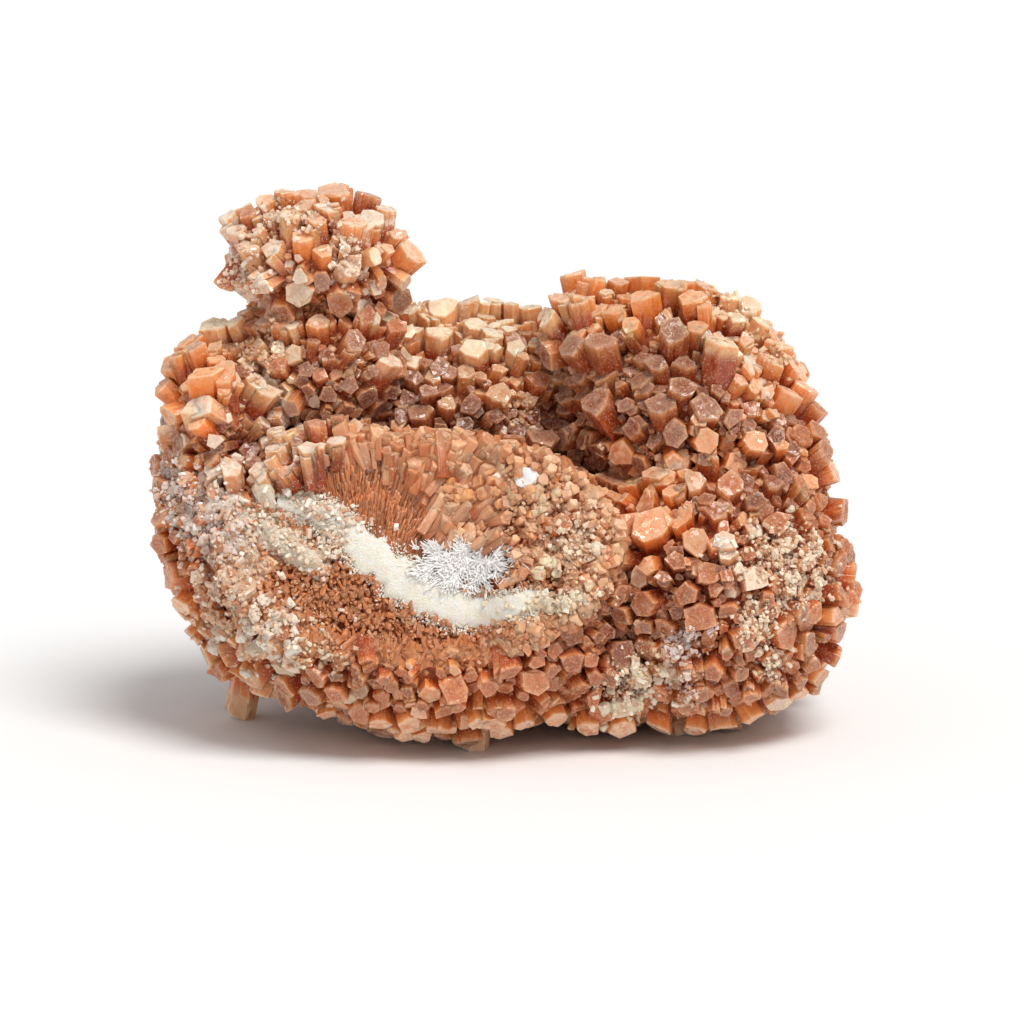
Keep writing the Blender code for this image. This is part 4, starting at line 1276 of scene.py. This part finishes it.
def block_sites(rng):
    """Broken blocks between the fine columns and the rim, and a few on the right."""
    flat = in_oval(BLOCKS * 8, rng, 1.05)
    near, away = off_seam(flat)
    distance = np.linalg.norm(away, axis=1)
    outer = (away[:, 1] > 0) & (distance > fibre_reach(flat) - 1.2) & (distance > seam_half[near] + 2.0)
    outer &= (rng.random(len(flat)) > ramp_of(flat[:, 0], 4.0, 12.0) * 0.65) & ~in_needles(flat, 1.0)
    flat = flat[outer][:BLOCKS]
    width = rng.uniform(1.2, 3.2, len(flat)) * (1.0 - 0.3 * ramp_of(flat[:, 0], 9.0, 16.0))
    way = unit(flat - FAN_HUB)
    axis = leaning(way, rng.uniform(0.1, 1.0, len(flat)) + ramp_of(flat[:, 0], 6.0, 16.0), rng, 0.18)
    level = rng.uniform(-1.2, 1.0, len(flat)) + 0.6 * ramp_of(rim_reach(flat), 0.6, 1.0)
    length = width * rng.uniform(1.4, 2.6, len(flat)) + 0.8
    root = on_scar(flat, level) - axis * length[:, None] * 0.75
    return crystal_table(root, axis, width, length, rng), flat


def crumb_sites(rng):
    """Short bits under the seam, which hang down, and right of the columns, at all angles."""
    flat = in_oval(CRUMBS * 3, rng, 1.04)
    near, away = off_seam(flat)
    under = away[:, 1] < 0
    clear = (np.linalg.norm(away, axis=1) > seam_half[near] * 0.85) & ~in_needles(flat, 0.9)
    flat, under = (v[clear & (under | (flat[:, 0] > FIBRE_RIGHT - 3.0))][:CRUMBS] for v in (flat, under))
    coarse = 1.0 + 1.5 * ramp_of(rim_reach(flat), 0.75, 1.02)
    width = rng.uniform(0.42, 1.05, len(flat)) * coarse * np.exp(0.3 * patchy(flat, 2.0, 4.0))
    level = rng.uniform(-0.5, 0.5, len(flat)) + 0.7 * patchy(flat, 3.0, 2.0) + 0.3 * patchy(flat, 1.2, 2.0)
    way = rng.normal(0.0, 0.55, flat.shape) - np.where(under, 0.75, 0.0)[:, None] * [0.0, 1.0]
    axis = leaning(way, np.where(under, 0.65, 1.0), rng, 0.1)
    length = rng.uniform(1.0, 2.4, len(flat)) * np.sqrt(coarse)
    root = on_scar(flat, level) - axis * length[:, None] * 0.8
    return crystal_table(root, axis, width, length, rng), flat


def needle_sites(rng):
    centre, half = NEEDLE_PATCH
    turn, reach = rng.uniform(0, math.tau, NEEDLES * 2), np.sqrt(rng.random(NEEDLES * 2))
    flat = np.column_stack([np.cos(turn), np.sin(turn)]) * (reach * rng.uniform(0.7, 1.15, len(turn)))[:, None]
    flat = centre + flat * half
    gap = np.linalg.norm((flat - centre) / half, axis=1)
    flat = flat[patchy(flat, 1.3, 11.0) + 0.6 * patchy(flat, 0.5, 5.0) > 1.1 * gap - 0.55][:NEEDLES]
    way = unit(flat - centre + rng.normal(0.0, 3.0, flat.shape))
    axis = leaning(way, rng.uniform(0.1, 0.8, len(flat)), rng, 0.1)
    width, length = rng.uniform(0.16, 0.34, len(flat)), rng.uniform(0.6, 2.0, len(flat))
    root = on_scar(flat, rng.uniform(0.2, 0.9, len(flat)))
    return crystal_table(root, axis, width, length, rng)


rim = rim_blocks(rng)
rim = toned(rim, np.tile(linear("#F4B68A"), (RIM_BLOCKS, 1)), 0.14, 0.1, rng)
pieces.append(grown_piece("rim_blocks", rim, medium_forms, striated, 11))
blocks, block_flat = block_sites(rng)
block_share = rng.random(len(block_flat)) ** 1.2 * 0.7 + 0.3 * ramp_of(block_flat[:, 0], 0.0, 6.0)
block_base = blended("#CC7644", "#F2C09A", block_share[:, None])
blocks = toned(blocks, block_base, 0.16, 0.3, rng)
pieces.append(grown_piece("broken_blocks", blocks, medium_forms, fibrous, 16))
crumbs, crumb_flat = crumb_sites(rng)
pale_share = ramp_of(patchy(crumb_flat, 2.0, 5.0) + 0.8 * ramp_of(crumb_flat[:, 0], 6.0, 18.0), 0.3, 1.2)
crumb_base = blended("#C07042", "#E2B088", pale_share[:, None])
crumbs = toned(crumbs, crumb_base, 0.14, 0.1, rng)
pieces.append(grown_piece("scar_crumbs", crumbs, splinter_forms, fibrous, 12))
needles = needle_sites(rng)
needles = toned(needles, np.tile(linear("#FFFDFB"), (len(needles["root"]), 1)), 0.06, 0.0, rng)
needles["cap_tint"] = needles["side_tint"]
pieces.append(grown_piece("white_needles", needles, grain_forms, unstained, 13))

# %% [markdown]
# ## The seam
#
# The lobe began as a thin bed of chalky aragonite, which the break has cut through. It shows as a cream
# band with a sugary surface. A section is swept along the seam's line and roughened with noise, and grains are
# strewn along both edges, where the band crumbles into the columns.

# %% Seam band
SEAM_RISE = 1.3
SEAM_DEPTH = 1.6
SEAM_SINK = 0.35
SEAM_ROUGH = 0.26
SEAM_SECTION = 26


def seam_band():
    points, faces = [], []
    slope = unit(np.gradient(seam_line, axis=0))
    side = np.column_stack([-slope[:, 1], slope[:, 0]])
    for i in range(SEAM_STEPS):
        for k in range(SEAM_SECTION):
            turn = math.tau * k / SEAM_SECTION
            edge = 5.0 * math.copysign(1.0, math.cos(turn))
            wander = 1.0 + 0.4 * noise.noise(Vector((i / 9.0, edge, 4.0)))
            wander += 0.45 * noise.noise(Vector((i / 3.0, edge, 4.0))) * abs(math.cos(turn))
            across = math.cos(turn) * seam_half[i] * wander
            lift = math.sin(turn)
            lift = lift**0.7 * SEAM_RISE if lift > 0 else lift * SEAM_DEPTH
            flat = seam_line[i] + side[i] * across
            rough = noise.fractal(Vector((*(flat / 0.9), 1.0)), 0.7, 2.2, 4)
            lift += SEAM_ROUGH * rough * (lift > 0)
            points.append(on_scar(flat, np.float64(lift - SEAM_SINK)))
    for i in range(SEAM_STEPS - 1):
        for k in range(SEAM_SECTION):
            low, high = i * SEAM_SECTION, (i + 1) * SEAM_SECTION
            j = (k + 1) % SEAM_SECTION
            faces.append((low + k, low + j, high + j, high + k))
    faces.append(tuple(reversed(range(SEAM_SECTION))))
    faces.append(tuple(range((SEAM_STEPS - 1) * SEAM_SECTION, SEAM_STEPS * SEAM_SECTION)))
    return mesh_from("cream_seam", points, faces)


def chalk(name, shade, speck_share, light=None):
    """Powdery lime: matt, with fine grit; without a light colour it takes the mesh's own tint."""
    inputs = {"Roughness": 0.75, "IOR": 1.55, "Subsurface Weight": 0.3, "Subsurface Scale": 0.001}
    inputs["Subsurface Radius"] = (1.0, 0.7, 0.45)
    patches = (1.8, 4.0, 0.65, 0.6, 0.4, 0.5, linear(shade))
    flecks = (SPECK_MM, 3.0, 0.75, 0.54, 0.68, speck_share, linear("#B0714A"))
    return mottled(name, inputs, light, patches, flecks, (0.8, 0.0005))


seam_chalk = chalk("chalky aragonite seam", "#FAECD2", 0.06, linear("#FFFBF0"))
seam_piece = placed("cream_seam", seam_band())
shape = bmesh.new()
shape.from_mesh(seam_piece.data)
bmesh.ops.recalc_face_normals(shape, faces=shape.faces)
shape.to_mesh(seam_piece.data)
shape.free()
seam_piece.data.shade_smooth()
seam_piece.data.materials.append(seam_chalk)
pieces.append(seam_piece)
print("seam", len(seam_piece.data.polygons), "faces")

# %% [markdown]
# ## Lime crust, slabs and sugar grains
#
# Water has left lime on the specimen: white powder in the folds, cream slabs beside the seam, and grains like
# coarse sugar. Each row says from which side, where, how large, how thick and which tint. Where a row has a
# thickness, a sheet is draped over the crystals: rays from that side find how far away they are, the sheet
# follows that with noise, and where the noise is low it sinks under them. Grains are dropped in every row, in
# the same way. Slabs and milky lumps stand where the specimen shows them, and the hidden sides are guesses.

# %% Crust sheets
CRUST_PATCHES = (  # from azimuth, across, up, half width, half height, turn, thickness, tint, grains a mm2
    (0, -53.5, 37.0, 3.6, 6.5, 15, 0.45, "#F6E6DC", 6.0),
    (0, -46.2, 33.0, 4.4, 7.5, 20, 0.4, "#F6E6DA", 5.0),
    (0, -42.5, 25.0, 3.6, 4.4, 0, 0.4, "#EAD0B6", 7.0),
    (0, -36.5, 31.0, 8.0, 3.0, -36, 0.3, "#F3E7D2", 6.0),
    (0, -29.6, 35.2, 6.0, 1.7, -22, 1.1, "#FBF1E0", 14.0),
    (0, -28.4, 29.6, 2.4, 2.6, 0, 0.6, "#F6E8D4", 10.0),
    (0, -37.5, 17.0, 8.5, 5.4, -15, 0.0, "#EEDCC6", 3.6),
    (0, -30.5, 11.0, 5.0, 3.2, 20, 0.0, "#E6D2B4", 3.6),
    (0, -47.4, 20.0, 4.0, 6.0, 0, 0.0, "#EACDB6", 4.5),
    (0, -43.0, 74.0, 3.2, 4.4, 0, 0.0, "#FCE2CC", 7.0),
    (0, -25.8, 76.5, 2.4, 5.0, 10, 0.0, "#FADFC4", 7.0),
    (0, -36.0, 82.5, 4.5, 3.0, 0, 0.0, "#FBE0C8", 6.0),
    (0, -40.2, 60.0, 3.4, 4.2, 0, 0.0, "#F2D2B0", 5.0),
    (0, 46.0, 27.0, 7.0, 5.0, -20, 0.0, "#F8E0C4", 9.0),
    (0, 28.6, 13.2, 3.4, 2.4, 10, 0.0, "#F2E4DC", 12.0),
    (0, 40.0, 16.8, 3.0, 3.0, 0, 0.0, "#FAE4C8", 12.0),
    (0, 46.6, 20.6, 2.4, 2.4, 0, 0.0, "#F4E2C8", 11.0),
    (0, 29.0, 6.4, 2.4, 3.0, 0, 0.0, "#F2DCCC", 9.0),
    (0, 43.6, 10.2, 2.2, 2.6, 0, 0.0, "#F2DEC4", 9.0),
    (0, 20.4, 6.2, 3.8, 3.4, 0, 0.0, "#F6E6CC", 11.0),
    (0, 24.5, 11.0, 3.0, 2.2, 0, 0.0, "#EAC8A6", 6.0),
    (0, 9.0, 20.3, 6.5, 1.9, 8, 1.1, "#F6E6CA", 9.0),
    (0, 10.8, 30.0, 3.8, 5.4, 0, 0.0, "#F6DCC0", 9.0),
    (0, 36.8, 70.0, 2.8, 3.2, -30, 0.0, "#F4DAB8", 6.0),
    (0, 43.5, 62.0, 2.2, 4.6, 35, 0.0, "#F0D0A8", 4.0),
    (0, 2.5, 50.5, 3.2, 2.4, 0, 0.0, "#E4C09A", 4.0),
    (150, 20.0, 30.0, 8.0, 5.4, 20, 0.0, "#EED2B4", 4.5),
    (180, -24.0, 46.0, 7.5, 4.6, -25, 0.0, "#F2DAC0", 5.0),
    (180, 14.0, 62.0, 4.0, 6.0, 10, 0.0, "#F0D4B6", 4.5),
    (210, -4.0, 22.0, 7.0, 4.0, 0, 0.0, "#F0DCCC", 4.5),
    (90, 8.0, 26.0, 5.5, 7.0, 25, 0.0, "#F0D6BA", 4.5),
    (270, -6.0, 32.0, 5.5, 7.0, -20, 0.0, "#F0DCCC", 4.5),
)
SHEET_SPACING = 0.4
SHEET_STEEPEST = 1.3
SHEET_BURIED = -0.3
SHEET_LOWEST = 1.2
SHEET_BODY = 1.0
RAY_BACK = 90.0


def solid_tree(sources):
    points, faces, base = [], [], 0
    for source in sources:
        points.append(mesh_points(source.data))
        faces.append(triangles(source.data) + base)
        base += len(points[-1])
    return BVHTree.FromPolygons(np.vstack(points).tolist(), np.vstack(faces).tolist())


def sight(azimuth):
    """(right, inward, up, shift) of a view from that side, leaning as the front view does."""
    spin = np.array(Matrix.Rotation(math.radians(azimuth), 3, "Z"))
    shift = CENTRE_SHIFT if azimuth == 0 else np.zeros(3)
    return spin @ ACROSS, spin @ LEAN_IN, spin @ LEAN_UP, shift


def blurred(grid, reach):
    soft = np.exp(-0.5 * (np.arange(-4, 5) / reach) ** 2)
    soft /= soft.sum()
    wide = np.pad(grid, 4, mode="edge")
    rows = np.array([np.convolve(row, soft, "valid") for row in wide])
    return np.array([np.convolve(column, soft, "valid") for column in rows.T]).T


def crust_sheet(tree, patch):
    """Points, faces and tints of one sheet: it drapes over the crystals and thins out under them."""
    azimuth, across, up, half_width, half_height, turn, thickness, tint, _ = patch
    right, inward, lift, shift = sight(azimuth)
    reach = 1.35 * max(half_width, half_height)
    ticks = np.arange(-reach, reach, SHEET_SPACING)
    a, b = np.meshgrid(ticks, ticks)
    turn = math.radians(turn)
    u = (a * math.cos(turn) + b * math.sin(turn)) / half_width
    v = (b * math.cos(turn) - a * math.sin(turn)) / half_height
    start = shift - inward * RAY_BACK + (across + a)[..., None] * right + (up + b)[..., None] * lift
    depth = np.full(a.shape, np.nan)
    for i, j in np.argwhere(u * u + v * v < 1.7):
        hit, _, _, distance = tree.ray_cast(Vector(start[i, j]), Vector(inward))
        if hit is not None and hit.z > SHEET_LOWEST:
            depth[i, j] = distance
    seen = ~np.isnan(depth)
    depth = np.where(seen, depth, np.nanmax(depth) if seen.any() else 0.0)
    flow = np.array([noise.fractal(Vector(p / 2.2), 0.75, 2.1, 4) for p in start.reshape(-1, 3)]).reshape(a.shape)
    grit = np.array([noise.noise(Vector(p / 0.5)) for p in start.reshape(-1, 3)]).reshape(a.shape)
    cover = thickness * (1.2 * np.exp(-(u * u + v * v)) + 1.1 * flow - 0.5)
    bed = 0.6 * depth + 0.4 * blurred(depth, 1.6)
    level = bed - cover - 0.3 * grit
    shown = seen & (cover > SHEET_BURIED)
    points = start + inward * level[..., None]
    index = np.arange(a.size).reshape(a.shape)
    faces = []
    for i in range(a.shape[0] - 1):
        for j in range(a.shape[1] - 1):
            box = level[i : i + 2, j : j + 2]
            if shown[i : i + 2, j : j + 2].all() and box.max() - box.min() < SHEET_STEEPEST:
                faces.append((index[i, j], index[i, j + 1], index[i + 1, j + 1], index[i + 1, j]))
    used = np.unique(np.array(faces).ravel()) if faces else np.array([], int)
    renumber = {int(old): new for new, old in enumerate(used)}
    faces = [tuple(renumber[int(k)] for k in face) for face in faces]
    return points.reshape(-1, 3)[used], faces, np.tile(linear(tint), (len(used), 1))


def joined(name, parts):
    """One object from parts of (points, faces, tints)."""
    points, faces, tints, base = [], [], [], 0
    for spots, polygons, tint in parts:
        points.append(spots)
        tints.append(tint)
        faces += [tuple(k + base for k in polygon) for polygon in polygons]
        base += len(spots)
    values = {"tint": ("FLOAT_COLOR", np.vstack(tints))}
    return placed(name, mesh_from(name, np.vstack(points), faces, values))


def crust_piece(name, tree):
    draped = joined(f"{name}_draped", [crust_sheet(tree, patch) for patch in CRUST_PATCHES if patch[6] > 0.0])
    wall = draped.modifiers.new("body", "SOLIDIFY")
    wall.thickness = SHEET_BODY * MM
    wall.offset = -1.0
    piece = plain_piece(name, draped)
    piece.data.shade_smooth()
    print(name, len(piece.data.polygons), "faces")
    return piece


# %% Slabs and lumps
SLABS = (  # across, up, length, width, turn, tint
    (-39.2, 38.2, 7.2, 3.4, -58, "#F2EBD6"),
    (-35.2, 28.9, 15.5, 4.6, -35, "#EFE8D4"),
    (-31.5, 25.4, 7.0, 3.2, -25, "#F0E9DA"),
    (-40.5, 12.5, 4.6, 3.2, 20, "#EADFC6"),
    (-36.0, 9.5, 5.4, 2.8, -10, "#E6D9BE"),
)
LUMPS = (  # across, up, length, width, turn, tint
    (-38.2, 26.3, 4.4, 4.0, 10, "#F0C6A2"),
    (3.3, 40.6, 5.4, 4.4, 0, "#FFFAF8"),
    (-6.2, 37.4, 3.8, 2.8, 30, "#EBA870"),
    (-3.4, 37.9, 3.2, 2.6, 0, "#E9AE80"),
    (-8.8, 39.5, 2.6, 2.2, 60, "#E8A264"),
    (14.6, 29.0, 3.2, 2.8, 0, "#E6D6C2"),
    (20.2, 3.4, 6.8, 5.6, 20, "#F2E0C2"),
    (22.0, 8.2, 4.6, 4.0, -30, "#EFDAB8"),
)
LUMP_FIELDS = (  # across, up, half width, half height, count, smallest, largest, tint
    (-2.5, 38.6, 6.5, 2.6, 16, 1.8, 3.6, "#ECA874"),
    (6.5, 36.6, 5.0, 3.6, 12, 1.6, 3.2, "#E8C29C"),
    (9.5, 25.6, 5.0, 3.2, 10, 1.6, 3.4, "#F0DEBC"),
    (-38.0, 14.5, 8.0, 5.5, 40, 1.4, 4.4, "#F6ECDC"),
    (-43.0, 21.0, 6.0, 8.0, 30, 1.2, 3.2, "#F2CDB2"),
    (46.0, 27.0, 7.0, 5.0, 30, 0.9, 2.4, "#F6E2C8"),
    (40.0, 16.8, 3.4, 3.0, 10, 0.9, 2.4, "#FAE8D0"),
    (28.6, 13.2, 3.4, 2.6, 8, 1.0, 2.4, "#F2E6E0"),
    (21.0, 6.0, 4.4, 4.0, 14, 1.2, 3.8, "#F8E8CE"),
    (-47.0, 31.0, 3.6, 8.0, 8, 1.8, 3.4, "#F4E2D8"),
)
LUMP_THICKNESS = 0.55
LUMP_SINK = 0.08
LUMP_CUTS = 16
LUMP_ROUGH = 0.2
LUMP_SEATS = ((0.0, 0.0), (0.3, 0.0), (-0.3, 0.0), (0.0, 0.3), (0.0, -0.3))


def lump_seat(tree, across, up, size):
    """Where a lump rests: five sight lines look for the surface under it, and the second nearest counts."""
    depths = []
    for right, lift in LUMP_SEATS:
        start = sight_start(across + right * size, up + lift * size, RAY_BACK)
        hit, _, _, depth = tree.ray_cast(Vector(start), Vector(LEAN_IN))
        if hit is not None:
            depths.append(depth)
    if len(depths) < 2:
        return None
    return sight_start(across, up, RAY_BACK) + LEAN_IN * sorted(depths)[1]


def lump(tree, row, seed):
    """A ball that is flattened, cut by random flats and roughened, lying on what the front view shows there."""
    across, up, length, width, turn, tint = row
    draw = random.Random(seed)
    shape = bmesh.new()
    bmesh.ops.create_icosphere(shape, subdivisions=3, radius=0.5)
    points = np.array([vertex.co for vertex in shape.verts])
    faces = [tuple(vertex.index for vertex in face.verts) for face in shape.faces]
    shape.free()
    for _ in range(LUMP_CUTS):
        flat = np.array([draw.gauss(0, 1) for _ in range(3)])
        flat /= np.linalg.norm(flat)
        over = points @ flat - draw.uniform(0.26, 0.42)
        points = points - np.clip(over, 0.0, None)[:, None] * flat
    size = np.array([length, width, width * LUMP_THICKNESS + 0.8])
    points = points * size
    rough = np.array([noise.fractal(Vector(p / 1.1 + seed), 0.8, 2.2, 4) for p in points])
    points = points * (1.0 + LUMP_ROUGH * rough / size.mean() * 3.0)[:, None]
    points = points @ np.array(Matrix.Rotation(math.radians(turn), 3, "Z")).T
    seat = lump_seat(tree, across, up, length)
    if seat is None:
        return np.zeros((0, 3)), [], np.zeros((0, 3))
    base = seat + LEAN_IN * size[2] * LUMP_SINK
    points = base + points[:, :1] * ACROSS + points[:, 1:2] * LEAN_UP - points[:, 2:] * LEAN_IN
    return points, faces, np.tile(linear(tint) * (1.0 + draw.uniform(-0.14, 0.1)), (len(points), 1))


def scattered_lumps(rng):
    """Rows of smaller lumps, thrown about the fields."""
    rows = []
    for across, up, half_width, half_height, count, smallest, largest, tint in LUMP_FIELDS:
        for _ in range(count):
            spot = rng.normal(size=2) * 0.55 * [half_width, half_height]
            size = smallest + (largest - smallest) * rng.random() ** 1.5
            flatter = size * rng.uniform(0.65, 0.95)
            rows.append((across + spot[0], up + spot[1], size, flatter, rng.uniform(0, 180), tint))
    return tuple(rows)


def lump_piece(name, tree, rows, material, seed):
    piece = joined(name, [lump(tree, row, seed + place) for place, row in enumerate(rows)])
    piece.data.materials.append(material)
    print(name, len(piece.data.polygons), "faces")
    return piece


MILKY_INPUTS = {"Roughness": 0.45, "IOR": 1.6, "Subsurface Weight": 0.4, "Subsurface Scale": 0.0012}
milky = mottled(
    "milky aragonite",
    MILKY_INPUTS | {"Subsurface Radius": (1.0, 0.7, 0.5)},
    None,
    (CLOUD_MM, 4.0, 0.6, 0.52, 0.68, 0.6, linear("#CC6A34")),
    # pale flecks: partly frost, partly painted glints
    (SPECK_MM, 3.0, 0.7, 0.55, 0.7, 0.3, FROST_AND_GLINTS),
    (0.5, 0.0004),
)
lime = chalk("lime crust", "#E2AE84", 0.3)
crystals_only = solid_tree(pieces)
pieces.append(lump_piece("lime_slabs", crystals_only, SLABS, lime, 40))
pieces.append(lump_piece("milky_lumps", crystals_only, LUMPS + scattered_lumps(rng), milky, 60))
crust = crust_piece("lime_crust", solid_tree(pieces))
crust.data.materials.append(lime)
pieces.append(crust)

# %% Grain patches
GRAIN_SINK = 0.4
GRAIN_CROWDING = 1.8
GRAIN_WIDTH = (0.25, 1.2)
GRAIN_SPREAD = 0.62
GRAIN_LOWEST = 1.0
GRAIN_BRIGHT = 0.25
SEAM_GRAINS = 4200


def dropped_grains(tree, rng):
    rows = []
    for azimuth, across, up, half_width, half_height, turn, _, tint, crowding in CRUST_PATCHES:
        right, inward, lift, shift = sight(azimuth)
        turn = math.radians(turn)
        for _ in range(int(GRAIN_CROWDING * crowding * half_width * half_height)):
            u, v = rng.normal(size=2) * GRAIN_SPREAD * [half_width, half_height]
            a = across + u * math.cos(turn) - v * math.sin(turn)
            b = up + u * math.sin(turn) + v * math.cos(turn)
            start = shift + right * a + lift * b - inward * RAY_BACK
            hit, normal, _, _ = tree.ray_cast(Vector(start), Vector(inward))
            if hit is None or hit.z < GRAIN_LOWEST:
                continue
            width = GRAIN_WIDTH[0] + (GRAIN_WIDTH[1] - GRAIN_WIDTH[0]) * rng.random() ** 2.2
            axis = np.array(normal) + rng.normal(0.0, 0.7, 3)
            axis /= np.linalg.norm(axis)
            length = width * rng.uniform(0.7, 1.4)
            stained, bright = 0.85 * rng.random() ** 1.6, rng.random() < GRAIN_BRIGHT
            shade = linear(tint) * (1.12 if bright else 1.0)
            shade = shade + (linear("#D28E62") - shade) * (0.0 if bright else stained)
            root, roll = np.array(hit) - axis * length * GRAIN_SINK, rng.uniform(0.0, math.tau)
            rows.append((root, axis, roll, width, length, shade, shade * 0.93, rng.uniform(0.2, 1.0)))
    return {key: np.array(values) for key, values in zip(("root", *SITE_VALUES), zip(*rows))}


def seam_grains(rng):
    """Grains along both edges of the seam."""
    at = rng.integers(4, SEAM_STEPS - 4, SEAM_GRAINS)
    beyond = seam_half[at] * rng.uniform(0.6, 1.15, len(at)) + np.abs(rng.normal(0.0, 0.55, len(at)))
    slope = unit(np.gradient(seam_line, axis=0))[at]
    side = np.column_stack([-slope[:, 1], slope[:, 0]]) * rng.choice([-1.0, 1.0], (len(at), 1))
    flat = seam_line[at] + side * beyond[:, None]
    width = rng.uniform(0.18, 0.5, len(at))
    axis = unit(SCAR_OUT + rng.normal(0.0, 0.7, (len(at), 3)))
    tone = 1.0 + rng.normal(0.0, 0.06, (len(at), 1))
    root = on_scar(flat, rng.uniform(-0.2, 0.4, len(at))) - axis * (width * 0.6)[:, None]
    return {
        "root": root,
        "axis": axis,
        "roll": rng.uniform(0.0, math.tau, len(at)),
        "width": width,
        "length": width * rng.uniform(0.8, 1.6, len(at)),
        "cap_tint": linear("#FBF2E0") * tone,
        "side_tint": linear("#F4E6CE") * tone,
        "dust": rng.uniform(0.2, 0.9, len(at)),
    }


def crust_material(name):
    """Fine lime crystals: like sugar, with a few bright faces."""
    inputs = {"IOR": 1.58, "Subsurface Weight": 0.4, "Subsurface Scale": 0.0008}
    material, tree, shader = principled(name, inputs | {"Subsurface Radius": (1.0, 0.8, 0.6)})
    grit = {"Vector": place_in_mm(tree), "Scale": 1.0 / SPECK_MM, "Detail": 3.0, "Roughness": 0.7}
    grit = add_node(tree, "ShaderNodeTexNoise", grit, 0)
    reads = (("cap", "Fac"), ("key", "Fac"), ("cap_tint", "Color"), ("side_tint", "Color"))
    reads = [add_node(tree, "ShaderNodeAttribute", take=out, attribute_name=kept) for kept, out in reads]
    cap, key, cap_tint, side_tint = reads
    skin = add_node(tree, "ShaderNodeMix", {0: cap, 6: side_tint, 7: cap_tint}, 2, data_type="RGBA")
    skin = layered(tree, skin, linear("#C48A60"), grit, 0.52, 0.75, 0.2)
    tree.links.new(skin, shader.inputs["Base Color"])
    gloss = add_node(tree, "ShaderNodeMath", {0: key, 1: 0.4, 2: 0.3}, 0, operation="MULTIPLY_ADD")
    tree.links.new(gloss, shader.inputs["Roughness"])
    return material


sugar_crust = crust_material("sugary lime crust")
grains = dropped_grains(solid_tree(pieces), rng)
pieces.append(grown_piece("crust_grains", grains, grain_forms, sugar_crust, 14))
pieces.append(grown_piece("seam_grains", seam_grains(rng), grain_forms, sugar_crust, 15))

# %% [markdown]
# ## Hand over to the frame
#
# The crystals' forms have done their work and go. Every piece rides on the one body and stands for the imported
# solid. Points that reach under the resting plane are pressed onto it, which wears the lowest tips flat, as they
# are on the specimen.

# %% Settle the pieces
for group in (large_forms, medium_forms, small_forms, splinter_forms, grain_forms):
    for obj in list(group.objects):
        bpy.data.objects.remove(obj, do_unlink=True)
    bpy.data.collections.remove(group)
total = 0
for piece in pieces:
    points = mesh_points(piece.data)
    points[:, 2] = np.maximum(points[:, 2], 0.0)
    move_points(piece.data, points)
    total += len(triangles(piece.data))
    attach(piece, "root")
    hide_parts(CLUSTER)
print(len(pieces), "pieces", total, "triangles")

# %% [markdown]
# ## Floor, light and camera
#
# A pale sweep of floor, a large soft light from the upper right and a white sky are how a small mineral is
# photographed for a catalogue. The camera stands a metre off with a long lens, 12 degrees up.

# %% Floor
floor_mesh = bpy.data.meshes.new("floor")
shape = bmesh.new()
bmesh.ops.create_circle(shape, cap_ends=True, segments=96, radius=12.0)
shape.to_mesh(floor_mesh)
shape.free()
floor = placed("floor", floor_mesh)
floor_material, _, floor_shader = principled("pale matt floor", {"Roughness": 0.9})
floor_shader.inputs["Base Color"].default_value = (*linear("#F4F5F6"), 1.0)
floor_mesh.materials.append(floor_material)

# %% Light
key_data = bpy.data.lights.new("key", "SUN")
key_data.energy = 2.35
key_data.angle = math.radians(28.0)
key_data.color = linear("#FFFCF8")
key = placed("key", key_data)
key.rotation_mode = "QUATERNION"
key.rotation_quaternion = Vector((0.38, -0.46, 1.1)).to_track_quat("Z", "Y")
world = bpy.data.worlds.new("studio sky")
world.use_nodes = True
sky = world.node_tree.nodes["Background"].inputs
sky["Color"].default_value = (1.0, 1.0, 1.0, 1.0)
sky["Strength"].default_value = 0.51
bpy.context.scene.world = world
bpy.context.scene.view_settings.view_transform = "Standard"

# %% Camera
AIM = Vector((0.00117, 0.00451, 0.03391))
CAMERA_DISTANCE = 1.0
FRAME_WIDTH = 0.1707
SENSOR_MM = 36.0
camera_data = bpy.data.cameras.new("camera")
camera_data.sensor_width = SENSOR_MM
camera_data.lens = SENSOR_MM * CAMERA_DISTANCE / FRAME_WIDTH
camera = placed("camera", camera_data)
camera.location = AIM - Vector(LEAN_IN) * CAMERA_DISTANCE
camera.rotation_mode = "QUATERNION"
camera.rotation_quaternion = Vector(LEAN_IN).to_track_quat("-Z", "Y")
bpy.context.scene.camera = camera
